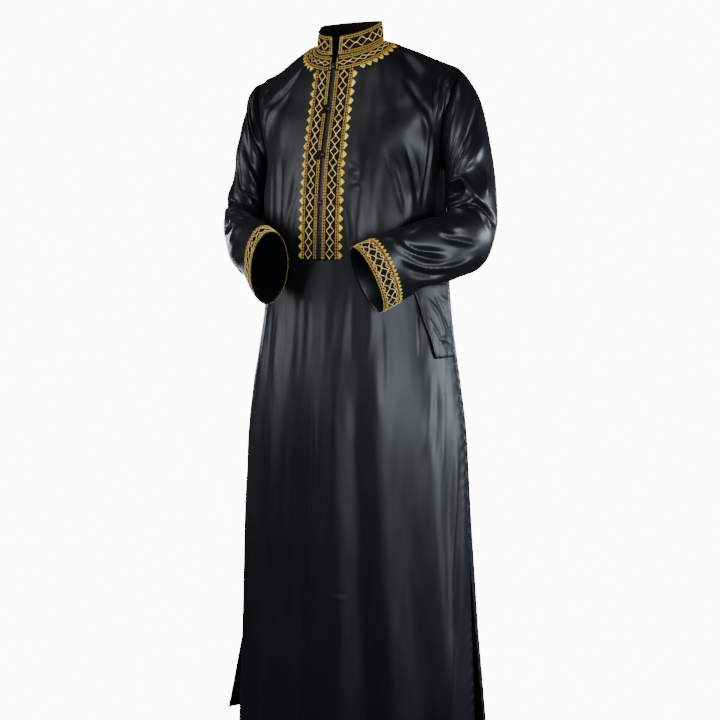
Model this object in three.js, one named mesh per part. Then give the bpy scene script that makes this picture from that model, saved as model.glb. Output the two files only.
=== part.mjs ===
// A man's ankle-length satin qamis, hollow and standing in the shape it has when worn:
// straight front and back panels with side slits, long loose sleeves bent at the elbow,
// a stand collar, and embroidered bands round the neck, down the front opening and at the cuffs.
// Millimetres, +Z up. The front faces -Y and the wearer's left is +X.
// The origin is the middle of the neckline, where the wearer's neck and shoulders carry the garment.
import * as THREE from "three";

// ---------------------------------------------------------------- driving dimensions
const CLOTH = 1.6; // wall of a satin panel
const BAND = 1.3; // wall of an embroidered band
const COLLAR_WALL = 2.2;
const UNDERLAP_WALL = 1.3;
const SEAM = 0.3; // gap between two pieces
const UNDER_BAND = 0.45; // gap under a band that lies on a panel
const SIDE_Y = 47; // the widest part of every section lies in this plane
const SECTION_POWER = 2.25; // 2 is an ellipse, more is squarer
const FOLDS_END_Z = -1440;
const COLLAR_HEIGHT = 40;
const COLLAR_LEAN = 4; // the top edge stands this much further in
const COLLAR_SPREAD = 3; // the two front ends part by this much more at the top
const SLIT_HALF = 5.5; // half the width of the opening down the front
const BAND_FLAT_X = 42.5; // a placket band is plain cloth from the opening to here
const BAND_TEETH_X = 52; // and its teeth reach to here
const UNDERLAP_X = 19;
const TOOTH_ROOT = 0.12; // share of a tooth's height left between two teeth
const BUTTON_RADIUS = 4.5;
const BUTTON_HEIGHTS = [-45, -130, -222, -316];
const POCKET_BOW = 5; // how far the pocket's mouth stands off the panel

// Upper rows, from the neckline (0) to the armpit (12): the centre front, the centre back, and
// the ends of the row on the front and on the back panel. Rows 0 to 6 end on the shoulder seam,
// rows 6 to 12 on the armhole. "arc" is how far round the row bends, in degrees, and "drop" how
// much lower the wearer's right shoulder is.
const YOKE = [
  { row: 0, fy: -56, fz: -22, by: 76, bz: 20, ex: 70, ey: 9, ez: 8, rx: 70, ry: 9, rz: 8, arc: 90, drop: 0 },
  { row: 1, fy: -62, fz: -54, by: 97, bz: -6, ex: 102, ey: 16, ez: 3, rx: 102, ry: 16, rz: 3, arc: 88, drop: 0 },
  { row: 2, fy: -64, fz: -64, by: 103, bz: -15, ex: 111, ey: 19, ez: 0, rx: 111, ry: 19, rz: 0, arc: 86, drop: 0 },
  { row: 3, fy: -68, fz: -82, by: 118, bz: -43, ex: 143, ey: 27, ez: -12, rx: 143, ry: 27, rz: -12, arc: 82, drop: 3 },
  { row: 4, fy: -72, fz: -100, by: 131, bz: -72, ex: 174, ey: 35, ez: -26, rx: 174, ry: 35, rz: -26, arc: 78, drop: 7 },
  { row: 5, fy: -76, fz: -118, by: 141, bz: -101, ex: 203, ey: 42, ez: -38, rx: 203, ry: 42, rz: -38, arc: 72, drop: 7 },
  { row: 6, fy: -81, fz: -136, by: 148, bz: -128, ex: 230, ey: 49, ez: -51, rx: 230, ry: 49, rz: -51, arc: 66, drop: 2 },
  { row: 7, fy: -86, fz: -154, by: 153, bz: -150, ex: 229, ey: 28, ez: -73, rx: 232, ry: 73, rz: -72, arc: 62, drop: 0 },
  { row: 8, fy: -91, fz: -172, by: 156, bz: -172, ex: 223, ey: 13, ez: -108, rx: 228, ry: 95, rz: -106, arc: 60, drop: 0 },
  { row: 9, fy: -96, fz: -190, by: 158, bz: -193, ex: 213, ey: 5, ez: -148, rx: 219, ry: 106, rz: -147, arc: 62, drop: 0 },
  { row: 10, fy: -101, fz: -208, by: 159, bz: -213, ex: 204, ey: 9, ez: -188, rx: 209, ry: 100, rz: -189, arc: 68, drop: 0 },
  { row: 11, fy: -105, fz: -226, by: 160, bz: -232, ex: 198, ey: 24, ez: -224, rx: 202, ry: 76, rz: -225, arc: 80, drop: 0 },
  { row: 12, fy: -109, fz: -246, by: 160, bz: -246, ex: 196, ey: 47, ez: -246, rx: 196, ry: 47, rz: -246, arc: 90, drop: 0 },
];
const TIP_ROW = 6; // the shoulder's outer end
const ARMPIT_ROW = 12;

// Lower sections: half width, front and back, how many degrees behind the widest point the side
// seam runs, how far the section stands to one side, and how far the hem corners kick out.
const BODY = [
  { z: -246, half: 196, front: -109, back: 160, seam: 0, shift: 0, kickLeft: 0, kickRight: 0 },
  { z: -330, half: 195, front: -117, back: 164, seam: 3, shift: 0, kickLeft: 0, kickRight: 0 },
  { z: -430, half: 194, front: -122, back: 172, seam: 6, shift: 0, kickLeft: 0, kickRight: 0 },
  { z: -540, half: 200, front: -128, back: 184, seam: 8, shift: 0, kickLeft: 0, kickRight: 0 },
  { z: -680, half: 221, front: -138, back: 195, seam: 9, shift: -4, kickLeft: 0, kickRight: 0 },
  { z: -800, half: 236, front: -143, back: 202, seam: 10, shift: -5, kickLeft: 0, kickRight: 0 },
  { z: -1000, half: 243, front: -146, back: 212, seam: 11, shift: -3, kickLeft: 0, kickRight: 0 },
  { z: -1200, half: 248, front: -151, back: 222, seam: 12, shift: 0, kickLeft: 6, kickRight: 44 },
  { z: -1440, half: 258, front: -160, back: 236, seam: 13, shift: 0, kickLeft: 16, kickRight: 80 },
];
const LOWER_ROWS = [
  -282, -319, -356, -393, -430, -482, -540, -602, -668, -742, -822, -908, -996, -1084, -1172, -1262,
  -1352, -1440,
];
const SLIT_TOP_Z = -996; // the side slits start on this row
const SLIT_LAST_Z = -430; // the front opening ends on this row

// Hanging folds: place in degrees from the centre front (plus is the wearer's left, 180 is the
// centre back), half width, depth (a ridge, or a trough when negative), top, and how many
// degrees it has moved by the hem.
const FOLDS = [
  { at: 8, wide: 6, deep: 9, top: -480, drift: 2 },
  { at: 20, wide: 6, deep: -12, top: -470, drift: 4 },
  { at: 33, wide: 7, deep: 11, top: -430, drift: 6 },
  { at: 47, wide: 6, deep: -9, top: -620, drift: 9 },
  { at: 62, wide: 7, deep: 13, top: -640, drift: 9 },
  { at: 79, wide: 7, deep: -12, top: -660, drift: 4 },
  { at: -5, wide: 5, deep: -13, top: -470, drift: 0 },
  { at: -17, wide: 7, deep: 8, top: -500, drift: -3 },
  { at: -32, wide: 6, deep: -8, top: -520, drift: -5 },
  { at: -46, wide: 7, deep: 10, top: -480, drift: -6 },
  { at: -61, wide: 6, deep: -8, top: -560, drift: -4 },
  { at: -76, wide: 7, deep: 7, top: -640, drift: -2 },
  { at: 112, wide: 8, deep: 10, top: -600, drift: 2 },
  { at: 128, wide: 7, deep: -11, top: -520, drift: 0 },
  { at: 146, wide: 8, deep: 12, top: -420, drift: 0 },
  { at: 163, wide: 7, deep: -11, top: -460, drift: 0 },
  { at: 181, wide: 8, deep: 12, top: -400, drift: -2 },
  { at: -162, wide: 7, deep: -10, top: -500, drift: 0 },
  { at: -146, wide: 8, deep: 11, top: -440, drift: 0 },
  { at: -129, wide: 7, deep: -10, top: -520, drift: 0 },
  { at: -112, wide: 8, deep: 9, top: -560, drift: -2 },
];

// Drag folds of the upper body, as lines from (x1, z1) to (x2, z2) on the front or the back.
const DRAGS = [
  { face: 1, x1: 150, z1: -55, x2: 196, z2: -190, wide: 19, deep: 7 },
  { face: 1, x1: 124, z1: -70, x2: 172, z2: -240, wide: 19, deep: -7 },
  { face: 1, x1: 170, z1: -250, x2: 150, z2: -420, wide: 15, deep: 9 },
  { face: 1, x1: 120, z1: -200, x2: 112, z2: -430, wide: 14, deep: -7 },
  { face: 1, x1: 82, z1: -190, x2: 78, z2: -450, wide: 13, deep: 7 },
  { face: 1, x1: -140, z1: -45, x2: -192, z2: -180, wide: 19, deep: 7 },
  { face: 1, x1: -112, z1: -60, x2: -170, z2: -215, wide: 19, deep: -7 },
  { face: 1, x1: -172, z1: -240, x2: -150, z2: -430, wide: 15, deep: 9 },
  { face: 1, x1: -120, z1: -190, x2: -112, z2: -440, wide: 14, deep: -7 },
  { face: 1, x1: -80, z1: -200, x2: -78, z2: -450, wide: 13, deep: 6 },
  { face: -1, x1: 176, z1: -70, x2: 128, z2: -300, wide: 17, deep: 9 },
  { face: -1, x1: -176, z1: -70, x2: -128, z2: -300, wide: 17, deep: 9 },
  { face: -1, x1: 152, z1: -250, x2: 96, z2: -420, wide: 17, deep: -9 },
  { face: -1, x1: -152, z1: -250, x2: -96, z2: -420, wide: 17, deep: -9 },
  { face: -1, x1: 60, z1: -120, x2: 48, z2: -380, wide: 16, deep: -6 },
  { face: -1, x1: -60, z1: -120, x2: -48, z2: -380, wide: 16, deep: -6 },
];

// Sleeve stations from the armhole (0) to the rim (11): the outer and the inner side, and half
// the width across them. The forearm's "outer" is the side away from the body.
const SLEEVE_LEFT = [
  { at: 0, ox: 230, oy: 49, oz: -51, ix: 196, iy: 47, iz: -246, half: 52 },
  { at: 1, ox: 248, oy: 55, oz: -77, ix: 203, iy: 47, iz: -247, half: 60 },
  { at: 2, ox: 267, oy: 57, oz: -115, ix: 206, iy: 46, iz: -262, half: 63 },
  { at: 3, ox: 281, oy: 57, oz: -170, ix: 207, iy: 46, iz: -285, half: 64 },
  { at: 4, ox: 293, oy: 56, oz: -230, ix: 208, iy: 44, iz: -310, half: 64 },
  { at: 5, ox: 303, oy: 51, oz: -292, ix: 209, iy: 38, iz: -336, half: 62 },
  { at: 6, ox: 310, oy: 38, oz: -348, ix: 212, iy: 28, iz: -362, half: 63 },
  { at: 7, ox: 307, oy: -2, oz: -386, ix: 211, iy: 4, iz: -386, half: 67 },
  { at: 8, ox: 281, oy: -58, oz: -406, ix: 200, iy: -28, iz: -404, half: 65 },
  { at: 9, ox: 241, oy: -106, oz: -423, ix: 172, iy: -76, iz: -420, half: 66 },
  { at: 10, ox: 203, oy: -149, oz: -443, ix: 137, iy: -112, iz: -440, half: 68 },
  { at: 11, ox: 163, oy: -189, oz: -468, ix: 98, iy: -148, iz: -465, half: 69 },
];
const SLEEVE_RIGHT = [
  { at: 0, ox: -230, oy: 49, oz: -53, ix: -196, iy: 47, iz: -246, half: 52 },
  { at: 1, ox: -252, oy: 53, oz: -75, ix: -203, iy: 46, iz: -247, half: 60 },
  { at: 2, ox: -264, oy: 52, oz: -116, ix: -206, iy: 44, iz: -262, half: 63 },
  { at: 3, ox: -276, oy: 50, oz: -171, ix: -207, iy: 42, iz: -285, half: 64 },
  { at: 4, ox: -287, oy: 46, oz: -231, ix: -208, iy: 38, iz: -310, half: 63 },
  { at: 5, ox: -294, oy: 38, oz: -291, ix: -209, iy: 28, iz: -334, half: 61 },
  { at: 6, ox: -301, oy: 18, oz: -345, ix: -212, iy: 10, iz: -360, half: 60 },
  { at: 7, ox: -284, oy: -30, oz: -372, ix: -207, iy: -16, iz: -372, half: 57 },
  { at: 8, ox: -243, oy: -86, oz: -388, ix: -186, iy: -51, iz: -386, half: 59 },
  { at: 9, ox: -196, oy: -137, oz: -405, ix: -145, iy: -94, iz: -402, half: 65 },
  { at: 10, ox: -143, oy: -182, oz: -425, ix: -94, iy: -132, iz: -422, half: 71 },
  { at: 11, ox: -95, oy: -224, oz: -447, ix: -45, iy: -171, iz: -444, half: 75 },
];
const SLEEVE_RINGS = [
  0, 1, 2, 3, 4, 5, 5.6, 6.2, 6.7, 7.2, 7.7, 8.2, 8.8, 9.5, 10.16, 10.35, 11,
];
const CUFF_FIRST_RING = 14; // the cuff band's teeth start here
const SLEEVE_SIDES = 24;

// Sleeve folds: along the sleeve and round it in degrees (0 is the outer side, 90 the front or
// top, 180 the body side), half lengths both ways, how much the fold climbs, its depth, and the
// side it is on where it is on one only.
const SLEEVE_FOLDS = [
  { at: 1.4, round: 70, long: 0.5, broad: 40, climb: 0.012, deep: 6 },
  { at: 2.3, round: 95, long: 0.5, broad: 45, climb: 0.016, deep: -6 },
  { at: 3.3, round: 60, long: 0.55, broad: 50, climb: -0.01, deep: 6 },
  { at: 4.3, round: 100, long: 0.5, broad: 50, climb: 0.012, deep: -6 },
  { at: 5.3, round: 60, long: 0.4, broad: 50, climb: 0.008, deep: 7 },
  { at: 6.2, round: 80, long: 0.4, broad: 55, climb: 0.006, deep: -8 },
  { at: 7.0, round: 70, long: 0.4, broad: 50, climb: -0.006, deep: 7 },
  { at: 7.8, round: 95, long: 0.42, broad: 50, climb: -0.008, deep: -7 },
  { at: 8.7, round: 60, long: 0.5, broad: 45, climb: -0.01, deep: 6 },
  { at: 9.4, round: 290, long: 0.8, broad: 35, climb: 0.01, deep: -6 },
  { at: 8.2, round: 315, long: 0.8, broad: 30, climb: 0.008, deep: 6 },
  { at: 3.0, round: 270, long: 0.9, broad: 45, climb: 0.012, deep: -6 },
  { at: 5.2, round: 285, long: 0.7, broad: 45, climb: 0.01, deep: 6 },
  { at: 6.9, round: 290, long: 0.6, broad: 40, climb: 0, deep: 9, only: 1 },
];

// ---------------------------------------------------------------- interpolation
const clamp01 = (x) => Math.min(1, Math.max(0, x));
const smoothstep = (x) => clamp01(x) ** 2 * (3 - 2 * clamp01(x));
const mix = (a, b, share) => a + (b - a) * share;
const radians = (degrees) => (degrees * Math.PI) / 180;
const vec = (x, y, z) => new THREE.Vector3(x, y, z);

// A smooth curve through one column of a table.
function through(rows, key, column, at) {
  const last = rows.length - 1;
  const down = rows[0][key] > rows[last][key] ? -1 : 1;
  let k = 0;
  while (k < last - 1 && down * (at - rows[k + 1][key]) > 0) k += 1;
  const slope = (i) => {
    const a = rows[Math.max(i - 1, 0)];
    const b = rows[Math.min(i + 1, last)];
    return (b[column] - a[column]) / (b[key] - a[key]);
  };
  const span = rows[k + 1][key] - rows[k][key];
  const s = (at - rows[k][key]) / span;
  return (
    rows[k][column] * (1 + 2 * s) * (1 - s) ** 2 +
    slope(k) * span * s * (1 - s) ** 2 +
    rows[k + 1][column] * s * s * (3 - 2 * s) +
    slope(k + 1) * span * s * s * (s - 1)
  );
}

// ---------------------------------------------------------------- the body's surface
const POWER = 2 / SECTION_POWER;
const bent = (x, power) => Math.sign(x) * Math.abs(x) ** power;

function foldDepth(angle, z) {
  let depth = 0;
  for (const fold of FOLDS) {
    const grown = smoothstep((fold.top - z) / (fold.top - FOLDS_END_Z));
    if (grown <= 0) continue;
    const place = fold.at + fold.drift * grown;
    const away = ((((angle - place) % 360) + 540) % 360) - 180;
    const wide = fold.wide * (0.85 + 0.25 * grown);
    depth += fold.deep * grown ** 0.6 * Math.exp(-((away / wide) ** 2));
  }
  return depth;
}

// A section of the lower body; the angle runs from the centre front, plus to the wearer's left.
function lowerPoint(angle, z) {
  const c = Math.cos(radians(angle));
  const s = Math.sin(radians(angle));
  const reach = SIDE_Y - through(BODY, "z", "front", z);
  const behind = through(BODY, "z", "back", z) - SIDE_Y;
  const across = through(BODY, "z", "half", z) * bent(s, POWER);
  const p = vec(across + through(BODY, "z", "shift", z) * Math.abs(s), SIDE_Y, z);
  p.y -= bent(c, POWER) * (c > 0 ? reach : behind);
  return p.addScaledVector(vec(s, -c, 0), foldDepth(angle, z));
}

// A point of an upper row: u runs from the centre (0) to the shoulder seam or armhole (1).
function yokePoint(face, row, u, side) {
  const at = (column) => through(YOKE, "row", column, row);
  const front = face > 0;
  const power = mix(1, POWER, clamp01((row - 6) / 6));
  const arc = radians(at("arc"));
  const x = at(front ? "ex" : "rx");
  const y = at(front ? "ey" : "ry");
  const z = at(front ? "ez" : "rz");
  const s = Math.sin(arc * u) ** power / Math.sin(arc) ** power;
  const end = Math.max(Math.cos(arc), 0) ** power;
  const c = (Math.max(Math.cos(arc * u), 0) ** power - end) / (1 - end);
  const cy = at(front ? "fy" : "by");
  const cz = at(front ? "fz" : "bz");
  const drop = side < 0 ? at("drop") * s : 0;
  return vec(side * x * s, mix(y, cy, c), mix(z, cz, c) - drop);
}

// The u or angle at which a row reaches a given x.
function uAtX(face, row, x) {
  const power = mix(1, POWER, clamp01((row - 6) / 6));
  const arc = radians(through(YOKE, "row", "arc", row));
  const edge = through(YOKE, "row", face > 0 ? "ex" : "rx", row);
  return Math.asin((x / edge) ** (1 / power) * Math.sin(arc)) / arc;
}
function angleAtX(z, x) {
  const half = through(BODY, "z", "half", z);
  return (Math.asin((x / half) ** (1 / POWER)) * 180) / Math.PI;
}

function dragDepth(face, p) {
  let depth = 0;
  for (const drag of DRAGS) {
    if (drag.face !== face) continue;
    const dx = drag.x2 - drag.x1;
    const dz = drag.z2 - drag.z1;
    const length = dx * dx + dz * dz;
    const along = ((p.x - drag.x1) * dx + (p.z - drag.z1) * dz) / length;
    const across = ((p.x - drag.x1) * dz - (p.z - drag.z1) * dx) / Math.sqrt(length);
    const ends = smoothstep(along / 0.3) * smoothstep((1 - along) / 0.3);
    depth += drag.deep * ends * Math.exp(-((across / drag.wide) ** 2));
  }
  return depth;
}

// ---------------------------------------------------------------- grids of points
const ROWS = YOKE.length + LOWER_ROWS.length;
const SIDE_COLUMNS = 12; // columns of half a front panel beyond the placket band
const FRONT_HALF = 3 + SIDE_COLUMNS;
const BACK_HALF = 11;

// Share of the placket columns' x in the first rows, where they fan out from the neckline.
const FAN = [0.52, 0.86, 1];

function panelPoint(face, side, row, u) {
  if (row <= ARMPIT_ROW) {
    const p = yokePoint(face, row, u, side);
    const away = clamp01(row - 2) * smoothstep((1 - u) / 0.12);
    const out = dragDepth(face, p) * away;
    return p.addScaledVector(vec(p.x * 0.7, p.y - SIDE_Y, 60).normalize(), out);
  }
  const z = LOWER_ROWS[row - ARMPIT_ROW - 1];
  const edge = 90 + through(BODY, "z", "seam", z);
  const angle = face > 0 ? u * edge : 180 - u * (180 - edge);
  const p = lowerPoint(side * angle, z);
  const s = Math.sin(radians(side * angle));
  const c = Math.cos(radians(angle));
  p.addScaledVector(vec(s, -c, 0), dragDepth(face, p) * smoothstep((1 - u) / 0.12));
  const kick = through(BODY, "z", side > 0 ? "kickLeft" : "kickRight", z);
  const near = smoothstep((u - 0.7) / 0.3) * (face < 0 ? 1 : -0.2);
  // the corner first stands out to the side, and lower down it also swings forward
  const swing = side > 0 ? 0.2 : -0.6 * smoothstep((-1080 - z) / 180);
  if (z < SLIT_TOP_Z) p.addScaledVector(vec(side, swing, 0), kick * near);
  return p;
}

function columnU(face, row, column) {
  if (face < 0) return column / BACK_HALF;
  const z = LOWER_ROWS[row - ARMPIT_ROW - 1];
  const fan = FAN[row] ?? 1;
  const atX = (x) => {
    if (row <= ARMPIT_ROW) return uAtX(face, row, x);
    return angleAtX(z, x) / (90 + through(BODY, "z", "seam", z));
  };
  const named = [SLIT_HALF, BAND_FLAT_X * fan, BAND_TEETH_X * fan];
  if (column < 3) return atX(named[column]);
  return mix(atX(named[2]), 1, (column - 2) / SIDE_COLUMNS);
}

// A whole panel as rows of points, running the same way round the body on front and back:
// the front from the wearer's right to the left, the back from the left to the right.
function panelGrid(face) {
  const half = face > 0 ? FRONT_HALF : BACK_HALF + 1;
  const grid = [];
  for (let row = 0; row < ROWS; row++) {
    const line = [];
    for (let c = half - 1; c >= (face > 0 ? 0 : 1); c--)
      line.push(panelPoint(face, -face, row, columnU(face, row, c)));
    for (let c = 0; c < half; c++) line.push(panelPoint(face, face, row, columnU(face, row, c)));
    grid.push(line);
  }
  return grid;
}

function sleevePoint(table, side, at, round) {
  const o = vec(...["ox", "oy", "oz"].map((k) => through(table, "at", k, at)));
  const i = vec(...["ix", "iy", "iz"].map((k) => through(table, "at", k, at)));
  const middle = (t) => {
    const sum = vec(0, 0, 0);
    ["x", "y", "z"].forEach((k) => {
      sum[k] = (through(table, "at", `o${k}`, t) + through(table, "at", `i${k}`, t)) / 2;
    });
    return sum;
  };
  const ahead = middle(Math.min(at + 0.2, 11)).sub(middle(Math.max(at - 0.2, 0))).normalize();
  const out = o.clone().sub(i).multiplyScalar(0.5);
  const front = ahead.clone().cross(out).normalize().multiplyScalar(side);
  const half = through(table, "at", "half", at);
  const centre = o.add(i).multiplyScalar(0.5);
  const c = Math.cos(radians(round));
  const s = Math.sin(radians(round));
  let depth = 0;
  for (const fold of SLEEVE_FOLDS) {
    if (fold.only && fold.only !== side) continue;
    const dr = ((((round - fold.round) % 360) + 540) % 360) - 180;
    const da = at - fold.at - dr * fold.climb;
    depth += fold.deep * Math.exp(-((da / fold.long) ** 2) - (dr / fold.broad) ** 2);
  }
  depth *= smoothstep(at / 1.2) * smoothstep((10.3 - at) / 1.2);
  const radial = out.clone().normalize().multiplyScalar(c).addScaledVector(front, s);
  return centre.addScaledVector(out, c).addScaledVector(front, s * half)
    .addScaledVector(radial.normalize(), depth);
}

// ---------------------------------------------------------------- walls from grids
// One outward direction for each point of a grid, from the cells round it.
function gridNormals(grid, closed, hole) {
  const columns = grid[0].length;
  const sums = grid.map((line) => line.map(() => vec(0, 0, 0)));
  for (let r = 0; r + 1 < grid.length; r++) {
    for (let c = 0; c < (closed ? columns : columns - 1); c++) {
      if (hole && hole(r, c)) continue;
      const d = (c + 1) % columns;
      const down = grid[r + 1][d].clone().sub(grid[r][c]);
      const across = grid[r + 1][c].clone().sub(grid[r][d]);
      const n = across.cross(down);
      for (const [i, j] of [[r, c], [r, d], [r + 1, c], [r + 1, d]]) sums[i][j].add(n);
    }
  }
  return sums.map((line) => line.map((n) => n.normalize()));
}

// The closed wall between the grid moved by "low" and by "high" along the normals.
function wall(name, grid, normals, low, high, { closed = false, hole = null, flip = false } = {}) {
  const columns = grid[0].length;
  const positions = [];
  const index = [];
  const id = (r, c, top) => 2 * (r * columns + (c % columns)) + (top ? 1 : 0);
  const lift = (value, r, c) => (typeof value === "function" ? value(r, c) : value);
  for (let r = 0; r < grid.length; r++) {
    for (let c = 0; c < columns; c++) {
      for (const value of [low, high]) {
        const p = grid[r][c].clone().addScaledVector(normals[r][c], lift(value, r, c));
        positions.push(p.x, p.y, p.z);
      }
    }
  }
  const solid = (r, c) => {
    if (r < 0 || r + 1 >= grid.length) return false;
    if (!closed && (c < 0 || c + 1 >= columns)) return false;
    return !(hole && hole(r, (c + columns) % columns));
  };
  const quad = (a, b, c, d) => {
    if (flip) index.push(a, c, b, a, d, c);
    else index.push(a, b, c, a, c, d);
  };
  for (let r = 0; r + 1 < grid.length; r++) {
    for (let c = 0; c < (closed ? columns : columns - 1); c++) {
      if (!solid(r, c)) continue;
      quad(id(r, c, true), id(r + 1, c, true), id(r + 1, c + 1, true), id(r, c + 1, true));
      quad(id(r, c, false), id(r, c + 1, false), id(r + 1, c + 1, false), id(r + 1, c, false));
      const rim = (r1, c1, r2, c2) =>
        quad(id(r1, c1, true), id(r1, c1, false), id(r2, c2, false), id(r2, c2, true));
      if (!solid(r - 1, c)) rim(r, c + 1, r, c);
      if (!solid(r + 1, c)) rim(r + 1, c, r + 1, c + 1);
      if (!solid(r, c - 1)) rim(r, c, r + 1, c);
      if (!solid(r, c + 1)) rim(r + 1, c + 1, r, c + 1);
    }
  }
  return solidMesh(name, positions, index);
}

// A mesh from positions and triangles: unused points are dropped, and it faces outward.
function solidMesh(name, positions, index) {
  const used = new Map();
  const kept = [];
  const order = index.map((i) => {
    if (!used.has(i)) {
      used.set(i, used.size);
      kept.push(positions[3 * i], positions[3 * i + 1], positions[3 * i + 2]);
    }
    return used.get(i);
  });
  let volume = 0;
  const at = (i) => vec(kept[3 * i], kept[3 * i + 1], kept[3 * i + 2]);
  for (let i = 0; i < order.length; i += 3)
    volume += at(order[i]).dot(at(order[i + 1]).cross(at(order[i + 2])));
  if (volume < 0)
    for (let i = 0; i < order.length; i += 3)
      [order[i + 1], order[i + 2]] = [order[i + 2], order[i + 1]];
  const geometry = new THREE.BufferGeometry();
  geometry.setAttribute("position", new THREE.Float32BufferAttribute(kept, 3));
  geometry.setIndex(order);
  geometry.computeVertexNormals();
  const mesh = new THREE.Mesh(geometry, MATERIALS[name.replace(/_.*/, "")]());
  mesh.name = name;
  return mesh;
}

// A place on a grid's facets, between its rows and columns, with its direction.
function onGrid(grid, normals, row, column) {
  const columns = grid[0].length;
  const r = Math.min(Math.floor(row), grid.length - 2);
  const c = Math.floor(column);
  const t = row - r;
  const s = column - c;
  const corners = [[r, c], [r + 1, c], [r + 1, c + 1], [r, c + 1]];
  const weights = t >= s ? [1 - t, t - s, s, 0] : [1 - s, 0, t, s - t];
  const blend = (source) => {
    const sum = vec(0, 0, 0);
    corners.forEach(([i, j], k) => sum.addScaledVector(source[i][j % columns], weights[k]));
    return sum;
  };
  return { p: blend(grid), n: blend(normals).normalize() };
}

// A band's grid and directions from a list of rows of (row, column) places on another grid.
function traced(grid, normals, places) {
  const found = places.map((line) => line.map(([r, c]) => onGrid(grid, normals, r, c)));
  return [found.map((line) => line.map((f) => f.p)), found.map((line) => line.map((f) => f.n))];
}

// ---------------------------------------------------------------- materials
const satin = (shade = 0x17181a) => () =>
  new THREE.MeshStandardMaterial({ color: shade, roughness: 0.42, metalness: 0 });
const gold = () => new THREE.MeshStandardMaterial({ color: 0x7d6228, roughness: 0.5, metalness: 0.2 });
const MATERIALS = {
  front: satin(),
  back: satin(0x151618),
  sleeve: satin(0x18191c),
  pocket: satin(0x1b1c1f),
  placket: gold,
  neck: gold,
  cuff: gold,
  collar: gold,
  button: () => new THREE.MeshStandardMaterial({ color: 0x0a0a0b, roughness: 0.18 }),
};

// ---------------------------------------------------------------- build
const front = panelGrid(1);
const back = panelGrid(-1);
const frontColumns = 2 * FRONT_HALF;
const slitColumn = FRONT_HALF - 1;
const slitEnd = ARMPIT_ROW + 1 + LOWER_ROWS.indexOf(SLIT_LAST_Z);
const slit = (r, c) => c === slitColumn && r < slitEnd;
const frontN = gridNormals(front, false, slit);
const backN = gridNormals(back, false);
const backColumns = back[0].length;

// The sleeves: the first ring is the armhole's edge.
const armhole = (grid, normals, column, k) => {
  const r = Math.floor(k);
  const t = k - r;
  const q = Math.min(r + 1, ROWS - 1);
  return {
    p: grid[r][column].clone().lerp(grid[q][column], t),
    n: normals[r][column].clone().lerp(normals[q][column], t),
  };
};
function sleeveGrid(table, side) {
  const fc = side > 0 ? frontColumns - 1 : 0;
  const bc = side > 0 ? 0 : backColumns - 1;
  const grid = [];
  for (const at of SLEEVE_RINGS) {
    const ring = [];
    for (let j = 0; j < SLEEVE_SIDES; j++) {
      const step = j <= SLEEVE_SIDES / 2 ? j : SLEEVE_SIDES - j;
      const k = TIP_ROW + (step * (ARMPIT_ROW - TIP_ROW)) / (SLEEVE_SIDES / 2);
      const onFront = j <= SLEEVE_SIDES / 2;
      if (at === 0) ring.push(armhole(onFront ? front : back, frontN, onFront ? fc : bc, k).p);
      else ring.push(sleevePoint(table, side, at, (360 * j) / SLEEVE_SIDES));
    }
    grid.push(ring);
  }
  const normals = gridNormals(grid, true);
  const middle = grid[1].reduce((a, p) => a.add(p), vec(0, 0, 0)).multiplyScalar(1 / SLEEVE_SIDES);
  const outward = normals[1][0].dot(grid[1][0].clone().sub(middle)) > 0 ? 1 : -1;
  for (const line of normals) for (const n of line) n.multiplyScalar(outward);
  // the armhole edge of panel and sleeve shares one direction, and the sleeve starts beyond a gap
  for (let row = TIP_ROW; row <= ARMPIT_ROW; row++) {
    const j = (row - TIP_ROW) * 2;
    const places = [[frontN, fc, j], [backN, bc, (SLEEVE_SIDES - j) % SLEEVE_SIDES]];
    const own = places.map(([panelN, column, place]) => {
      const n = panelN[row][column].clone().add(normals[0][place]);
      return n.normalize();
    });
    if (row === TIP_ROW || row === ARMPIT_ROW) {
      const shared = own[0].add(own[1]).normalize();
      own[0] = shared.clone();
      own[1] = shared.clone();
    }
    places.forEach(([panelN, column, place], k) => {
      panelN[row][column].copy(own[k]);
      normals[0][place].copy(own[k]);
    });
  }
  for (let j = 1; j < SLEEVE_SIDES; j += 2)
    normals[0][j].copy(normals[0][j - 1]).add(normals[0][(j + 1) % SLEEVE_SIDES]).normalize();
  const moved = grid[0].map((p, j) => {
    const before = grid[0][(j + SLEEVE_SIDES - 1) % SLEEVE_SIDES];
    const after = grid[0][(j + 1) % SLEEVE_SIDES];
    const away = after.clone().sub(before).cross(normals[0][j]).normalize();
    if (away.x * side < 0 || Math.abs(away.x) < 1e-6) away.multiplyScalar(-1);
    return p.clone().addScaledVector(away, SEAM);
  });
  grid[0] = moved;
  return [grid, normals];
}
const [sleeveL, sleeveLN] = sleeveGrid(SLEEVE_LEFT, 1);
const [sleeveR, sleeveRN] = sleeveGrid(SLEEVE_RIGHT, -1);

// The side and shoulder seams: one shared direction, and half a gap on each panel.
for (const [fc, bc] of [[0, backColumns - 1], [frontColumns - 1, 0]]) {
  for (let row = 0; row < ROWS; row++) {
    if (row > TIP_ROW && row < ARMPIT_ROW) continue;
    if (row !== TIP_ROW && row !== ARMPIT_ROW) {
      const n = frontN[row][fc].clone().add(backN[row][bc]).normalize();
      frontN[row][fc].copy(n);
      backN[row][bc].copy(n);
    }
    front[row][fc].y -= SEAM / 2;
    back[row][bc].y += SEAM / 2;
  }
}

const group = new THREE.Group();
const add = (...meshes) => group.add(...meshes);
add(wall("front_panel", front, frontN, -CLOTH, 0, { hole: slit }));
add(wall("back_panel", back, backN, -CLOTH, 0));
add(wall("sleeve_left", sleeveL, sleeveLN, -CLOTH, 0, { closed: true }));
add(wall("sleeve_right", sleeveR, sleeveRN, -CLOTH, 0, { closed: true }));

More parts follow.
